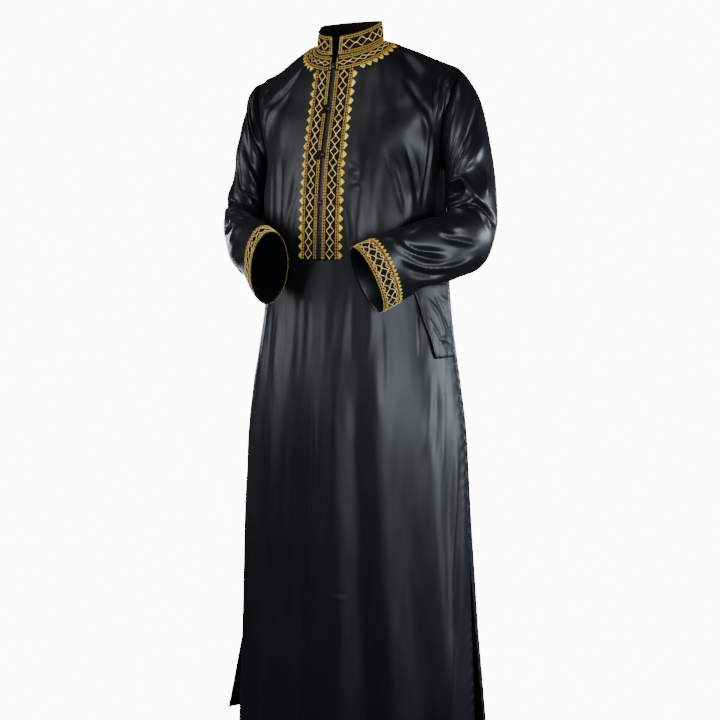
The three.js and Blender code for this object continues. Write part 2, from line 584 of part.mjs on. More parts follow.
// Placket bands and the underlap, from the front panel's own points.
const zigzag = (low, high, k) => (k % 2 === 0 ? mix(low, high, TOOTH_ROOT) : high);
const bandRows = [];
for (let r = 2; r < slitEnd; r++) {
  const steps = r < ARMPIT_ROW ? 2 : 4;
  for (let k = 0; k < steps; k++) bandRows.push(r + k / steps);
}
bandRows.push(slitEnd);
const bandStart = 2 + SEAM / 18; // just below the neck band
for (const [name, edge, flat, teeth] of [
  ["placket_band_left", slitColumn + 1, slitColumn + 2, slitColumn + 3],
  ["placket_band_right", slitColumn, slitColumn - 1, slitColumn - 2],
]) {
  const places = bandRows.map((r, k) => {
    const row = Math.max(r, bandStart);
    return [[row, edge], [row, flat], [row, zigzag(flat, teeth, k)]];
  });
  const [grid, normals] = traced(front, frontN, places);
  add(wall(name, grid, normals, UNDER_BAND, UNDER_BAND + BAND));
}
{
  const share = (UNDERLAP_X - SLIT_HALF) / (BAND_FLAT_X - SLIT_HALF);
  const rows = [];
  for (let r = 0; r <= slitEnd; r++) rows.push(Math.max(r, 0.3));
  const places = rows.map((r) => [
    [r, slitColumn - share / (FAN[Math.floor(r)] ?? 1)],
    [r, slitColumn],
    [r, slitColumn + 1],
    [r, slitColumn + 1 + share / (FAN[Math.floor(r)] ?? 1)],
  ]);
  const [grid, normals] = traced(front, frontN, places);
  const high = -CLOTH - SEAM;
  add(wall("placket_underlap", grid, normals, high - UNDERLAP_WALL, high));
}

// Ball buttons in the opening, resting just off the underlap.
BUTTON_HEIGHTS.forEach((z, k) => {
  let r = 0;
  while (front[r + 1][slitColumn].z > z) r += 1;
  const t = (z - front[r][slitColumn].z) / (front[r + 1][slitColumn].z - front[r][slitColumn].z);
  const a = onGrid(front, frontN, r + t, slitColumn);
  const b = onGrid(front, frontN, r + t, slitColumn + 1);
  const p = a.p.add(b.p).multiplyScalar(0.5);
  const n = a.n.add(b.n).normalize();
  p.addScaledVector(n, BUTTON_RADIUS - CLOTH + 0.05);
  const ball = new THREE.IcosahedronGeometry(BUTTON_RADIUS, 1);
  const positions = [];
  const index = [];
  const seen = new Map();
  const source = ball.getAttribute("position");
  for (let i = 0; i < source.count; i++) {
    const q = [source.getX(i), source.getY(i), source.getZ(i)];
    const key = q.map((x) => x.toFixed(4)).join();
    if (!seen.has(key)) {
      seen.set(key, seen.size);
      positions.push(q[0] + p.x, q[1] + p.y, q[2] + p.z);
    }
    index.push(seen.get(key));
  }
  add(solidMesh(`button_${k + 1}`, positions, index));
});

// The neck band: one strip from the opening's left edge round the back to its right edge.
{
  const path = [];
  for (let c = slitColumn + 1; c < frontColumns - 1; c++) path.push([front, frontN, c]);
  path.push(["seam", frontColumns - 1, 0]);
  path.push([back, backN, 0.5]);
  for (let c = 1; c < backColumns - 1; c++) {
    path.push([back, backN, c]);
    path.push([back, backN, c + 0.5]);
  }
  path.push(["seam", 0, backColumns - 1]);
  for (let c = 1; c <= slitColumn; c++) path.push([front, frontN, c]);
  const first = 0.02;
  const strip = [first, 0.5, 1, "teeth"].map((line) => {
    return path.map(([source, normals, c], k) => {
      const plain = k < 3 || k > path.length - 4;
      let row = line;
      if (line === "teeth") row = plain ? 2 : zigzag(1, 2, k + 1);
      if (source !== "seam") return onGrid(source, normals, row, c);
      const a = onGrid(front, frontN, row, normals === 0 ? 0 : normals - 1e-9);
      const b = onGrid(back, backN, row, c === 0 ? 0 : c - 1e-9);
      return { p: a.p.add(b.p).multiplyScalar(0.5), n: a.n.add(b.n).normalize() };
    });
  });
  const grid = strip.map((line) => line.map((f) => f.p));
  const normals = strip.map((line) => line.map((f) => f.n));
  add(wall("neck_band", grid, normals, UNDER_BAND, UNDER_BAND + BAND));
}

// The stand collar, inside the neckline.
{
  const ring = [];
  for (let c = slitColumn + 1; c < frontColumns; c += 2) ring.push(front[0][c]);
  for (let c = 2; c < backColumns - 2; c += 2) ring.push(back[0][c]);
  for (let c = 0; c <= slitColumn; c += 2) ring.push(front[0][c]);
  const centre = vec(0, 9, 0);
  const rows = [0, 0.5, 1].map((t) =>
    ring.map((p, k) => {
      const inward = vec(centre.x - p.x, centre.y - p.y, 0).normalize();
      const q = p.clone().addScaledVector(inward, 0.6 + COLLAR_LEAN * t);
      q.z += mix(SEAM + 0.1, COLLAR_HEIGHT, t);
      if (k === 0) q.x += COLLAR_SPREAD * t;
      if (k === ring.length - 1) q.x -= COLLAR_SPREAD * t;
      return q;
    }),
  );
  const out = rows.map((line) => line.map((p) => vec(p.x, p.y - 9, 0).normalize()));
  add(wall("collar", rows, out, -COLLAR_WALL, 0, { flip: true }));
}

// Cuff bands, from the sleeves' own points.
for (const [name, grid, normals] of [
  ["cuff_band_left", sleeveL, sleeveLN],
  ["cuff_band_right", sleeveR, sleeveRN],
]) {
  const places = [0, 1, 2].map((line) => {
    const row = [];
    for (let k = 0; k < 2 * SLEEVE_SIDES; k++) {
      const tooth = CUFF_FIRST_RING + 1 - zigzag(0, 1, k);
      row.push([line === 0 ? tooth : CUFF_FIRST_RING + line, k / 2]);
    }
    return row;
  });
  const [band, bandN] = traced(grid, normals, places);
  add(wall(name, band, bandN, UNDER_BAND, UNDER_BAND + BAND, { closed: true }));
}

// The left pocket: a slanted mouth in front, closed along the side seam and the bottom.
{
  const rowAt = (z) => {
    let r = ARMPIT_ROW;
    while (LOWER_ROWS[r - ARMPIT_ROW] > z) r += 1;
    const above = r === ARMPIT_ROW ? -246 : LOWER_ROWS[r - ARMPIT_ROW - 1];
    return r + (z - above) / (LOWER_ROWS[r - ARMPIT_ROW] - above);
  };
  const heights = [-478, -496, -514, -536, -560, -584, -608, -628];
  const places = heights.map((z, k) => {
    const row = rowAt(z);
    const start = frontColumns - 1 - mix(5.6, 3.4, k / (heights.length - 1));
    const line = [];
    for (let c = 0; c <= 8; c++) line.push([row, mix(start, frontColumns - 1.08, c / 8)]);
    return line;
  });
  const [grid, normals] = traced(front, frontN, places);
  const bow = (r, c) => {
    const mouth = Math.sin((Math.PI * r) / (heights.length - 1)) ** 0.5;
    return 1 + POCKET_BOW * mouth * (1 - c / 8) ** 2;
  };
  add(wall("pocket_left", grid, normals, bow, (r, c) => bow(r, c) + CLOTH));
}

export default group;
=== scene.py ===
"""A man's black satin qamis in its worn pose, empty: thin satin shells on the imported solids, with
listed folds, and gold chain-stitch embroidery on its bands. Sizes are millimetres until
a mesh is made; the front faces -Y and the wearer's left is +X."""
import math

import bpy
import numpy as np
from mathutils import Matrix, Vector


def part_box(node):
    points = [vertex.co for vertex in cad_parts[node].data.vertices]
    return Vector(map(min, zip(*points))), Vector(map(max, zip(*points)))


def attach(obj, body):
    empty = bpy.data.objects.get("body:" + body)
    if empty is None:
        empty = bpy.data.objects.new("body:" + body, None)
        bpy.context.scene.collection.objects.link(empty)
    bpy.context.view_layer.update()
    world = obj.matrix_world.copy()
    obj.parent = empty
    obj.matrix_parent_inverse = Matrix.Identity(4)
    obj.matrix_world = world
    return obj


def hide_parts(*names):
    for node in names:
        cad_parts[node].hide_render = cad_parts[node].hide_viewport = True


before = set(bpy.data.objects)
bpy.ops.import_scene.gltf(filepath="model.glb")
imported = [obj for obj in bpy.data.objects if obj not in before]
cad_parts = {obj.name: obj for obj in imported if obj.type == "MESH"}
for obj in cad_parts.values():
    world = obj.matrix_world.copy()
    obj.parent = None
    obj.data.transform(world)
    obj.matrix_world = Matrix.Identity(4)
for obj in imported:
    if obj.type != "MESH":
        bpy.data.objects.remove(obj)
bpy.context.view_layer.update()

MM = 0.001

# ------------------------------------------------------------------ driving dimensions
CLOTH_SHOWN = 0.7  # the shells' thickness
STIFFER_CLOTH = 0.8  # and that of the pocket and the underlap
SIDE_Y = 47  # where the side seams lie
SECTION_POWER = 2.25  # how square the body's sections are
HEM_Z = -1440
ARMPIT_Z = -246
SLIT_HALF = 5.5  # half of the front opening
SLIT_LAST_Z = -430
SIDE_SLIT_TOP = -996
BAND_FLAT_X = 42.5  # the bands' outer edge, without their teeth and with them
BAND_TEETH_X = 52
UNDERLAP_X = 19
COLLAR_HEIGHT = 40
COLLAR_LEAN = 4
COLLAR_SPREAD = 3
BUTTON_RADIUS = 4.5
BUTTON_HEIGHTS = (-45, -130, -222, -316)
TIP_ROW = 6  # the yoke's rows at the shoulder's tip and at the armpit
ARMPIT_ROW = 12
LAST_STATION = 11  # the sleeves' station at the cuff's rim
FOLDS_END = 10.3  # and where their folds and creases have run out, above the cuff
CREASES_END = 10.25


class Table:
    """Rows of named columns, read as smooth curves along the first column."""

    def __init__(self, names, rows):
        self.names = names.split()
        self.rows = np.array(rows, float)
        self.sign = 1 if self.rows[-1, 0] > self.rows[0, 0] else -1
        self.keys = self.sign * self.rows[:, 0]

    def at(self, column, key):
        values = self.rows[:, self.names.index(column)]
        key = self.sign * np.asarray(key, float)
        last = len(values) - 1
        k = np.clip(np.searchsorted(self.keys, key, side="right") - 1, 0, last - 1)
        low, high = np.maximum(np.arange(last + 1) - 1, 0), np.minimum(np.arange(last + 1) + 1, last)
        slopes = (values[high] - values[low]) / (self.keys[high] - self.keys[low])
        span = self.keys[k + 1] - self.keys[k]
        s = (key - self.keys[k]) / span
        return (
            values[k] * (1 + 2 * s) * (1 - s) ** 2
            + slopes[k] * span * s * (1 - s) ** 2
            + values[k + 1] * s * s * (3 - 2 * s)
            + slopes[k + 1] * span * s * s * (s - 1)
        )


# The same sections as the solids have: the yoke from the neckline to the armpit, and the body.
YOKE = Table("row fy fz by bz ex ey ez rx ry rz arc drop", [
    (0, -56, -22, 76, 20, 70, 9, 8, 70, 9, 8, 90, 0),
    (1, -62, -54, 97, -6, 102, 16, 3, 102, 16, 3, 88, 0),
    (2, -64, -64, 103, -15, 111, 19, 0, 111, 19, 0, 86, 0),
    (3, -68, -82, 118, -43, 143, 27, -12, 143, 27, -12, 82, 3),
    (4, -72, -100, 131, -72, 174, 35, -26, 174, 35, -26, 78, 7),
    (5, -76, -118, 141, -101, 203, 42, -38, 203, 42, -38, 72, 7),
    (6, -81, -136, 148, -128, 230, 49, -51, 230, 49, -51, 66, 2),
    (7, -86, -154, 153, -150, 229, 28, -73, 232, 73, -72, 62, 0),
    (8, -91, -172, 156, -172, 223, 13, -108, 228, 95, -106, 60, 0),
    (9, -96, -190, 158, -193, 213, 5, -148, 219, 106, -147, 62, 0),
    (10, -101, -208, 159, -213, 204, 9, -188, 209, 100, -189, 68, 0),
    (11, -105, -226, 160, -232, 198, 24, -224, 202, 76, -225, 80, 0),
    (12, -109, -246, 160, -246, 196, 47, -246, 196, 47, -246, 90, 0),
])
BODY = Table("z half front back seam shift kickLeft kickRight", [
    (-246, 196, -109, 160, 0, 0, 0, 0),
    (-330, 195, -117, 164, 3, 0, 0, 0),
    (-430, 194, -122, 172, 6, 0, 0, 0),
    (-540, 200, -128, 184, 8, 0, 0, 0),
    (-680, 221, -138, 195, 9, -4, 0, 0),
    (-800, 236, -143, 202, 10, -5, 0, 0),
    (-1000, 243, -146, 212, 11, -3, 0, 0),
    (-1200, 248, -151, 222, 12, 0, 6, 44),
    (-1440, 258, -160, 236, 13, 0, 16, 80),
])
# Hanging folds: degrees from the centre front, half width, depth, top, drift by the hem.
FOLDS = (
    (8, 6, 9, -480, 2), (20, 6, -12, -470, 4), (33, 7, 11, -430, 6), (47, 6, -9, -620, 9),
    (62, 7, 13, -640, 9), (79, 7, -12, -660, 4), (-5, 5, -13, -470, 0), (-17, 7, 8, -500, -3),
    (-32, 6, -8, -520, -5), (-46, 7, 10, -480, -6), (-61, 6, -8, -560, -4),
    (-76, 7, 7, -640, -2), (112, 8, 10, -600, 2), (128, 7, -11, -520, 0),
    (146, 8, 12, -420, 0), (163, 7, -11, -460, 0), (181, 8, 12, -400, -2),
    (-162, 7, -10, -500, 0), (-146, 8, 11, -440, 0), (-129, 7, -10, -520, 0),
    (-112, 8, 9, -560, -2),
)
# Drag folds, a little softer than the solids have them: face, line from (x, z) to (x, z), half
# width, depth.
DRAGS = (
    (1, 150, -55, 196, -190, 19, 4.3), (1, 124, -70, 172, -240, 19, -4.3),
    (1, 170, -250, 150, -420, 15, 5.6), (1, 120, -200, 112, -430, 14, -4.3),
    (1, 82, -190, 78, -450, 13, 4.3), (1, -140, -45, -192, -180, 19, 4.3),
    (1, -112, -60, -170, -215, 19, -4.3), (1, -172, -240, -150, -430, 15, 5.6),
    (1, -120, -190, -112, -440, 14, -4.3), (1, -80, -200, -78, -450, 13, 3.7),
    (-1, 176, -70, 128, -300, 17, 7.2), (-1, -176, -70, -128, -300, 17, 7.2),
    (-1, 152, -250, 96, -420, 17, -7.2), (-1, -152, -250, -96, -420, 17, -7.2),
    (-1, 60, -120, 48, -380, 16, -4.8), (-1, -60, -120, -48, -380, 16, -4.8),
)
SLEEVE_COLUMNS = "at ox oy oz ix iy iz half"
SLEEVE_LEFT = Table(SLEEVE_COLUMNS, [
    (0, 230, 49, -51, 196, 47, -246, 52), (1, 248, 55, -77, 203, 47, -247, 60),
    (2, 267, 57, -115, 206, 46, -262, 63), (3, 281, 57, -170, 207, 46, -285, 64),
    (4, 293, 56, -230, 208, 44, -310, 64), (5, 303, 51, -292, 209, 38, -336, 62),
    (6, 310, 38, -348, 212, 28, -362, 63), (7, 307, -2, -386, 211, 4, -386, 67),
    (8, 281, -58, -406, 200, -28, -404, 65), (9, 241, -106, -423, 172, -76, -420, 66),
    (10, 203, -149, -443, 137, -112, -440, 68), (11, 163, -189, -468, 98, -148, -465, 69),
])
SLEEVE_RIGHT = Table(SLEEVE_COLUMNS, [
    (0, -230, 49, -53, -196, 47, -246, 52), (1, -252, 53, -75, -203, 46, -247, 60),
    (2, -264, 52, -116, -206, 44, -262, 63), (3, -276, 50, -171, -207, 42, -285, 64),
    (4, -287, 46, -231, -208, 38, -310, 63), (5, -294, 38, -291, -209, 28, -334, 61),
    (6, -301, 18, -345, -212, 10, -360, 60), (7, -284, -30, -372, -207, -16, -372, 57),
    (8, -243, -86, -388, -186, -51, -386, 59), (9, -196, -137, -405, -145, -94, -402, 65),
    (10, -143, -182, -425, -94, -132, -422, 71), (11, -95, -224, -447, -45, -171, -444, 75),
])
# Folds of both sleeves, softer than the solids have them: station, degrees round, length, breadth,
# climb, depth, side (0 is both).
SLEEVE_FOLDS = (
    (1.4, 70, 0.5, 40, 0.012, 4.2, 0), (2.3, 95, 0.5, 45, 0.016, -4.2, 0),
    (3.3, 60, 0.55, 50, -0.01, 4.2, 0), (4.3, 100, 0.5, 50, 0.012, -4.2, 0),
    (5.3, 60, 0.4, 50, 0.008, 4.9, 0), (6.2, 80, 0.4, 55, 0.006, -5.6, 0),
    (7.0, 70, 0.4, 50, -0.006, 4.9, 0), (7.8, 95, 0.42, 50, -0.008, -4.9, 0),
    (8.7, 60, 0.5, 45, -0.01, 4.2, 0), (9.4, 290, 0.8, 35, 0.01, -4.2, 0),
    (8.2, 315, 0.8, 30, 0.008, 4.2, 0), (3.0, 270, 0.9, 45, 0.012, -4.2, 0),
    (5.2, 285, 0.7, 45, 0.01, 4.2, 0), (6.9, 290, 0.6, 40, 0, 6.3, 1),
)


# ------------------------------------------------------------------ small maths
def smoothstep(x):
    """0 up to 0, 1 from 1 on, and smooth between."""
    x = np.clip(x, 0, 1)
    return x * x * (3 - 2 * x)


def mix(a, b, share):
    return a + (b - a) * share


def turn(degrees):
    """An angle brought between -180 and 180 degrees."""
    return (degrees + 180) % 360 - 180


def bent(x, power):
    """A power that keeps the sign."""
    return np.sign(x) * np.abs(x) ** power


def unit(v):
    return v / np.maximum(np.linalg.norm(v, axis=-1, keepdims=True), 1e-9)


def stack(x, y, z):
    return np.stack(np.broadcast_arrays(x, y, z), axis=-1).astype(float)


def bell(x):
    """1 at the middle, and falling away smoothly on both sides."""
    return np.exp(-x * x)


def run_along(points):
    """The distance along a line of points, from its first."""
    steps = np.linalg.norm(np.diff(points, axis=0), axis=1)
    return np.concatenate([[0], np.cumsum(steps)])


def repeats(start, end, pitch):
    """The middles of the whole repeats, each about a pitch long, that fill a stretch."""
    count = max(2, round((end - start) / pitch))
    return start + (np.arange(count) + 0.5) * (end - start) / count


def sample(grid, row, column):
    """A grid read between its points, at fractional rows and columns."""
    row, column = np.broadcast_arrays(row, column)
    r = np.minimum(row.astype(int), grid.shape[0] - 2)
    c = np.minimum(column.astype(int), grid.shape[1] - 2)
    down, along = (row - r)[..., None], (column - c)[..., None]
    upper = mix(grid[r, c], grid[r, c + 1], along)
    return mix(upper, mix(grid[r + 1, c], grid[r + 1, c + 1], along), down)


# ------------------------------------------------------------------ the body's surface
POWER = 2 / SECTION_POWER
SEAM_CLEAR = 0.12  # the share beside a seam over which the drag folds run out
KICK_FROM = 0.7  # the side slits stand open from this share outward
KICK_FADE = 60  # and grow open over this height
RIGHT_SWING_Z, RIGHT_SWING_OVER = -1080, 180  # where the right slit's back edge swings forward


def fold_depth(angle, z):
    """How far the hanging folds stand out, at degrees from the centre front and a height."""
    depth = np.zeros(np.broadcast(angle, z).shape)
    for at, wide, deep, top, drift in FOLDS:
        grown = smoothstep((top - z) / (top - HEM_Z))
        away = turn(angle - at - drift * grown)
        depth += deep * grown**0.6 * bell(away / (wide * (0.85 + 0.25 * grown)))
    return depth


def lower_point(angle, z):
    """A point of the body below the armpit, with its hanging folds."""
    c, s = np.cos(np.radians(angle)), np.sin(np.radians(angle))
    reach = SIDE_Y - BODY.at("front", z)
    behind = BODY.at("back", z) - SIDE_Y
    x = BODY.at("half", z) * bent(s, POWER) + BODY.at("shift", z) * np.abs(s)
    y = SIDE_Y - bent(c, POWER) * np.where(c > 0, reach, behind)
    depth = fold_depth(angle, z)
    return stack(x + s * depth, y - c * depth, z)


def yoke_power(row):
    return mix(1, POWER, np.clip((row - TIP_ROW) / (ARMPIT_ROW - TIP_ROW), 0, 1))


def yoke_point(face, row, u, side):
    """A point of the yoke. Its rows run from the centre to the armhole's edge."""
    front = face > 0
    power = yoke_power(row)
    arc = np.radians(YOKE.at("arc", row))
    x, y, z = (YOKE.at(("e" if front else "r") + k, row) for k in "xyz")
    s = np.sin(arc * u) ** power / np.sin(arc) ** power
    end = np.maximum(np.cos(arc), 0) ** power
    c = (np.maximum(np.cos(arc * u), 0) ** power - end) / (1 - end)
    drop = YOKE.at("drop", row) * s * (side < 0)
    cy, cz = YOKE.at("fy" if front else "by", row), YOKE.at("fz" if front else "bz", row)
    return stack(side * x * s, mix(y, cy, c), mix(z, cz, c) - drop)


def drag_depth(face, p):
    """How far the drag folds stand out at points of the front (1) or the back (-1)."""
    depth = np.zeros(p.shape[:-1])
    for side, x1, z1, x2, z2, wide, deep in DRAGS:
        if side != face:
            continue
        dx, dz = x2 - x1, z2 - z1
        length = dx * dx + dz * dz
        along = ((p[..., 0] - x1) * dx + (p[..., 2] - z1) * dz) / length
        across = ((p[..., 0] - x1) * dz - (p[..., 2] - z1) * dx) / math.sqrt(length)
        ends = smoothstep(along / 0.3) * smoothstep((1 - along) / 0.3)
        depth += deep * ends * bell(across / wide)
    return depth


def panel_point(face, side, row, u):
    """A point of a panel: rows 0 to 12 are the yoke's, and a lower row is 12 plus the millimetres
    below the armpit. u runs from the centre (0) to the seam (1)."""
    row, u = np.broadcast_arrays(np.asarray(row, float), np.asarray(u, float))
    upper = np.minimum(row, ARMPIT_ROW)
    p = yoke_point(face, upper, u, side)
    away = np.clip(upper - 2, 0, 1) * smoothstep((1 - u) / SEAM_CLEAR)
    out = unit(stack(p[..., 0] * 0.7, p[..., 1] - SIDE_Y, 60))
    top = p + out * (drag_depth(face, p) * away)[..., None]
    z = ARMPIT_Z - np.maximum(row - ARMPIT_ROW, 0)
    edge = 90 + BODY.at("seam", z)
    angle = u * edge if face > 0 else 180 - u * (180 - edge)
    q = lower_point(side * angle, z)
    s, c = np.sin(np.radians(side * angle)), np.cos(np.radians(angle))
    way = stack(s, -c, 0)
    q = q + way * (drag_depth(face, q) * smoothstep((1 - u) / SEAM_CLEAR))[..., None]
    kick = BODY.at("kickLeft" if side > 0 else "kickRight", z)
    near = smoothstep((u - KICK_FROM) / (1 - KICK_FROM)) * (1 if face < 0 else -0.2)
    swing = 0.2 if side > 0 else -0.6 * smoothstep((RIGHT_SWING_Z - z) / RIGHT_SWING_OVER)
    opened = (z < SIDE_SLIT_TOP) * smoothstep((SIDE_SLIT_TOP - z) / KICK_FADE)
    q = q + stack(side, swing, 0) * (kick * near * opened)[..., None]
    return np.where((row <= ARMPIT_ROW)[..., None], top, q)


def u_at_x(row, x):
    """The front panel's u where a row reaches x, for x from 0 to the band's teeth."""
    row = np.asarray(row, float)
    upper = np.minimum(row, ARMPIT_ROW)
    arc = np.radians(YOKE.at("arc", upper))
    yoke = np.arcsin((x / YOKE.at("ex", upper)) ** (1 / yoke_power(upper)) * np.sin(arc)) / arc
    z = ARMPIT_Z - np.maximum(row - ARMPIT_ROW, 0)
    angle = np.degrees(np.arcsin((x / BODY.at("half", z)) ** (1 / POWER)))
    return np.where(row <= ARMPIT_ROW, yoke, angle / (90 + BODY.at("seam", z)))


def sleeve_middle(table, at):
    return stack(*[(table.at("o" + k, at) + table.at("i" + k, at)) / 2 for k in "xyz"])


def sleeve_point(table, side, at, around):
    """A point of a sleeve, at a station and degrees round, from its outer line (0) to the front."""
    at, around = np.broadcast_arrays(np.asarray(at, float), np.asarray(around, float))
    o = stack(*[table.at("o" + k, at) for k in "xyz"])
    i = stack(*[table.at("i" + k, at) for k in "xyz"])
    beyond, before = np.minimum(at + 0.2, LAST_STATION), np.maximum(at - 0.2, 0)
    ahead = unit(sleeve_middle(table, beyond) - sleeve_middle(table, before))
    out = (o - i) / 2
    front = unit(np.cross(ahead, out)) * side
    half = table.at("half", at)
    c, s = np.cos(np.radians(around)), np.sin(np.radians(around))
    depth = np.zeros(at.shape)
    for place, turned, long, broad, climb, deep, only in SLEEVE_FOLDS:
        if only in (0, side):
            dr = turn(around - turned)
            da = at - place - dr * climb
            depth += deep * bell(da / long) * bell(dr / broad)
    depth *= smoothstep(at / 1.2) * smoothstep((FOLDS_END - at) / 1.2)
    radial = unit(unit(out) * c[..., None] + front * s[..., None])
    ring = (o + i) / 2 + out * c[..., None] + front * (s * half)[..., None]
    return ring + radial * depth[..., None]


# ------------------------------------------------------------------ grids
def grid_normals(p, closed=False):
    """One outward direction for each point of a grid, closed round its columns or not."""
    if closed:
        across = np.roll(p, -1, axis=1) - np.roll(p, 1, axis=1)
    else:
        across = np.gradient(p, axis=1)
    return unit(np.cross(across, -np.gradient(p, axis=0)))


def blur_rows(p, wide, reach):
    """The grid smoothed along its columns, with its first and last rows kept."""
    weights = np.exp(-0.5 * (np.arange(-reach, reach + 1) / wide) ** 2)
    weights /= weights.sum()
    head = 2 * p[:1] - p[reach:0:-1]
    tail = 2 * p[-1:] - p[-2 : -reach - 2 : -1]
    padded = np.concatenate([head, p, tail])
    return sum(w * padded[k : k + len(p)] for k, w in enumerate(weights))


def smooth_curve(points, steps=7):
    """A Catmull-Rom curve through given points."""
    p = np.asarray(points, float)
    p = np.concatenate([2 * p[:1] - p[1:2], p, 2 * p[-1:] - p[-2:-1]])
    t = (np.arange(steps) / steps)[:, None]
    pieces = [
        0.5 * (2 * p[k + 1] + (p[k + 2] - p[k]) * t
               + (2 * p[k] - 5 * p[k + 1] + 4 * p[k + 2] - p[k + 3]) * t**2
               + (3 * p[k + 1] - p[k] - 3 * p[k + 2] + p[k + 3]) * t**3)
        for k in range(len(p) - 3)
    ]
    return np.concatenate([*pieces, p[-2:-1]])


CREASE_ENDS = 0.36  # the share of a crease over which each end runs out


def creases(marks, a, b, wrap=None):
    """The height that the listed creases add at (a, b). Each is a line of points with a half
    width, a height (a trough when negative) and a lean, which makes one flank steeper. The
    creases narrow and run out towards their ends."""
    height = np.zeros(a.shape)
    for points, wide, deep, lean in marks:
        curve = smooth_curve(points)
        low, high = curve.min(axis=0) - 3 * wide, curve.max(axis=0) + 3 * wide
        shifts = (0,) if wrap is None else (-wrap, 0, wrap)
        run = run_along(curve)
        for shift in shifts:
            here = (a + shift > low[0]) & (a + shift < high[0]) & (b > low[1]) & (b < high[1])
            if not here.any():
                continue
            pa, pb = a[here] + shift, b[here]
            best = np.full(pa.shape, 1e9)
            across, along = np.zeros(pa.shape), np.zeros(pa.shape)
            for k in range(len(curve) - 1):
                (xa, xb), (ya, yb) = curve[k], curve[k + 1]
                da, db = ya - xa, yb - xb
                length = math.hypot(da, db)
                t = np.clip(((pa - xa) * da + (pb - xb) * db) / length**2, 0, 1)
                away = np.hypot(pa - xa - t * da, pb - xb - t * db)
                closer = away < best
                side = np.sign((pa - xa) * db - (pb - xb) * da)
                best = np.where(closer, away, best)
                across = np.where(closer, away * side, across)
                along = np.where(closer, (run[k] + t * length) / run[-1], along)
            narrow = wide * (0.6 + 0.4 * np.sin(np.pi * np.clip(along, 0.08, 0.92)))
            q = across / (narrow * (1 + lean * np.sign(across)))
            ends = smoothstep(along / CREASE_ENDS) * smoothstep((1 - along) / CREASE_ENDS)
            height[here] += deep * ends * bell(q)
    return height


def ripples(a, b, waves, seed):
    """Slow seeded unevenness: waves is rows of (length along a, length along b, height)."""
    draw = np.random.default_rng(seed)
    height = np.zeros(a.shape)
    for long_a, long_b, high in waves:
        for _ in range(5):
            ka, kb = draw.normal(0, 1 / long_a), draw.normal(0, 1 / long_b)
            height += high / 2.2 * np.sin(2 * np.pi * (ka * a + kb * b) + draw.uniform(0, 6.28))
    return height


def arc_length(p, zero):
    """The distance along each row from the column "zero", signed."""
    steps = np.linalg.norm(np.diff(p, axis=1), axis=-1)
    run = np.concatenate([np.zeros((len(p), 1)), np.cumsum(steps, axis=1)], axis=1)
    return run - run[:, zero : zero + 1]


def from_edges(columns):
    """How far each column of a panel is from the nearer side seam, as a share of one side."""
    count = np.arange(columns)
    return np.minimum(count, count[::-1]) / SIDE_COLUMNS


# ------------------------------------------------------------------ meshes
def make_mesh(name, points, faces, material, uv=None):
    """An object from points in millimetres; uv is one pair for each point."""
    mesh = bpy.data.meshes.new(name)
    faces = np.asarray(faces, np.int32)
    size = faces.shape[1]
    mesh.vertices.add(len(points))
    mesh.vertices.foreach_set("co", (np.asarray(points, np.float32) * MM).ravel())
    mesh.loops.add(faces.size)
    mesh.loops.foreach_set("vertex_index", faces.ravel())
    mesh.polygons.add(len(faces))
    mesh.polygons.foreach_set("loop_start", np.arange(0, faces.size, size, dtype=np.int32))
    mesh.polygons.foreach_set("use_smooth", np.full(len(faces), True))
    if uv is not None:
        layer = mesh.uv_layers.new(name="flat")
        layer.data.foreach_set("uv", np.asarray(uv, np.float32)[faces.ravel()].ravel())
    mesh.update(calc_edges=True)
    mesh.validate()
    mesh.materials.append(material)
    obj = bpy.data.objects.new(name, mesh)
    bpy.context.scene.collection.objects.link(obj)
    return obj


def grid_faces(rows, columns, closed=False):
    """Quads of a grid of points, closed round its columns or not."""
    r, c = np.meshgrid(np.arange(rows - 1), np.arange(columns - (0 if closed else 1)), indexing="ij")
    d = (c + 1) % columns
    quads = np.stack([r * columns + c, (r + 1) * columns + c, (r + 1) * columns + d, r * columns + d], -1)
    return quads.reshape(-1, 4)


def finish_piece(obj, node_names):
    """Puts a piece on the body, in place of the nodes that it stands for."""
    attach(obj, "root")
    if node_names:
        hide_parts(*node_names)
    return obj


def cloth(node_name, grid, faces, material, thick=CLOTH_SHOWN):
    """A node's satin: a shell on the grid, with its thickness laid inward."""
    obj = make_mesh(node_name + "_satin", grid.reshape(-1, 3), faces, material)
    modifier = obj.modifiers.new("cloth", "SOLIDIFY")
    modifier.thickness = thick * MM
    modifier.offset = -1
    modifier.use_even_offset = False
    return finish_piece(obj, [node_name])


# ------------------------------------------------------------------ materials
def dial(shader, values):
    """Sets sockets by name."""
    for name, value in values.items():
        shader.inputs[name].default_value = value


def new_material(name, values):
    """A material of one shader, with the values that are the same all over its surface."""
    material = bpy.data.materials.new(name)
    material.use_nodes = True
    tree = material.node_tree
    tree.nodes.clear()
    out = tree.nodes.new("ShaderNodeOutputMaterial")
    shader = tree.nodes.new("ShaderNodeBsdfPrincipled")
    tree.links.new(shader.outputs["BSDF"], out.inputs["Surface"])
    dial(shader, values)
    return material, tree, shader


def node(tree, kind, **values):
    """A shader node, with its sockets and settings given by name."""
    made = tree.nodes.new("ShaderNode" + kind)
    for key, value in values.items():
        if key in made.inputs:
            made.inputs[key].default_value = value
        else:
            setattr(made, key, value)
    return made


def ramp(tree, factor, stops):
    """A colour that runs through the stops, each a place and a colour, as the factor grows."""
    made = tree.nodes.new("ShaderNodeValToRGB")
    elements = made.color_ramp.elements
    while len(elements) < len(stops):
        elements.new(0.5)
    for element, (place, color) in zip(elements, stops):
        element.position = place
        element.color = (*color, 1)
    tree.links.new(factor, made.inputs["Fac"])
    return made.outputs["Color"]


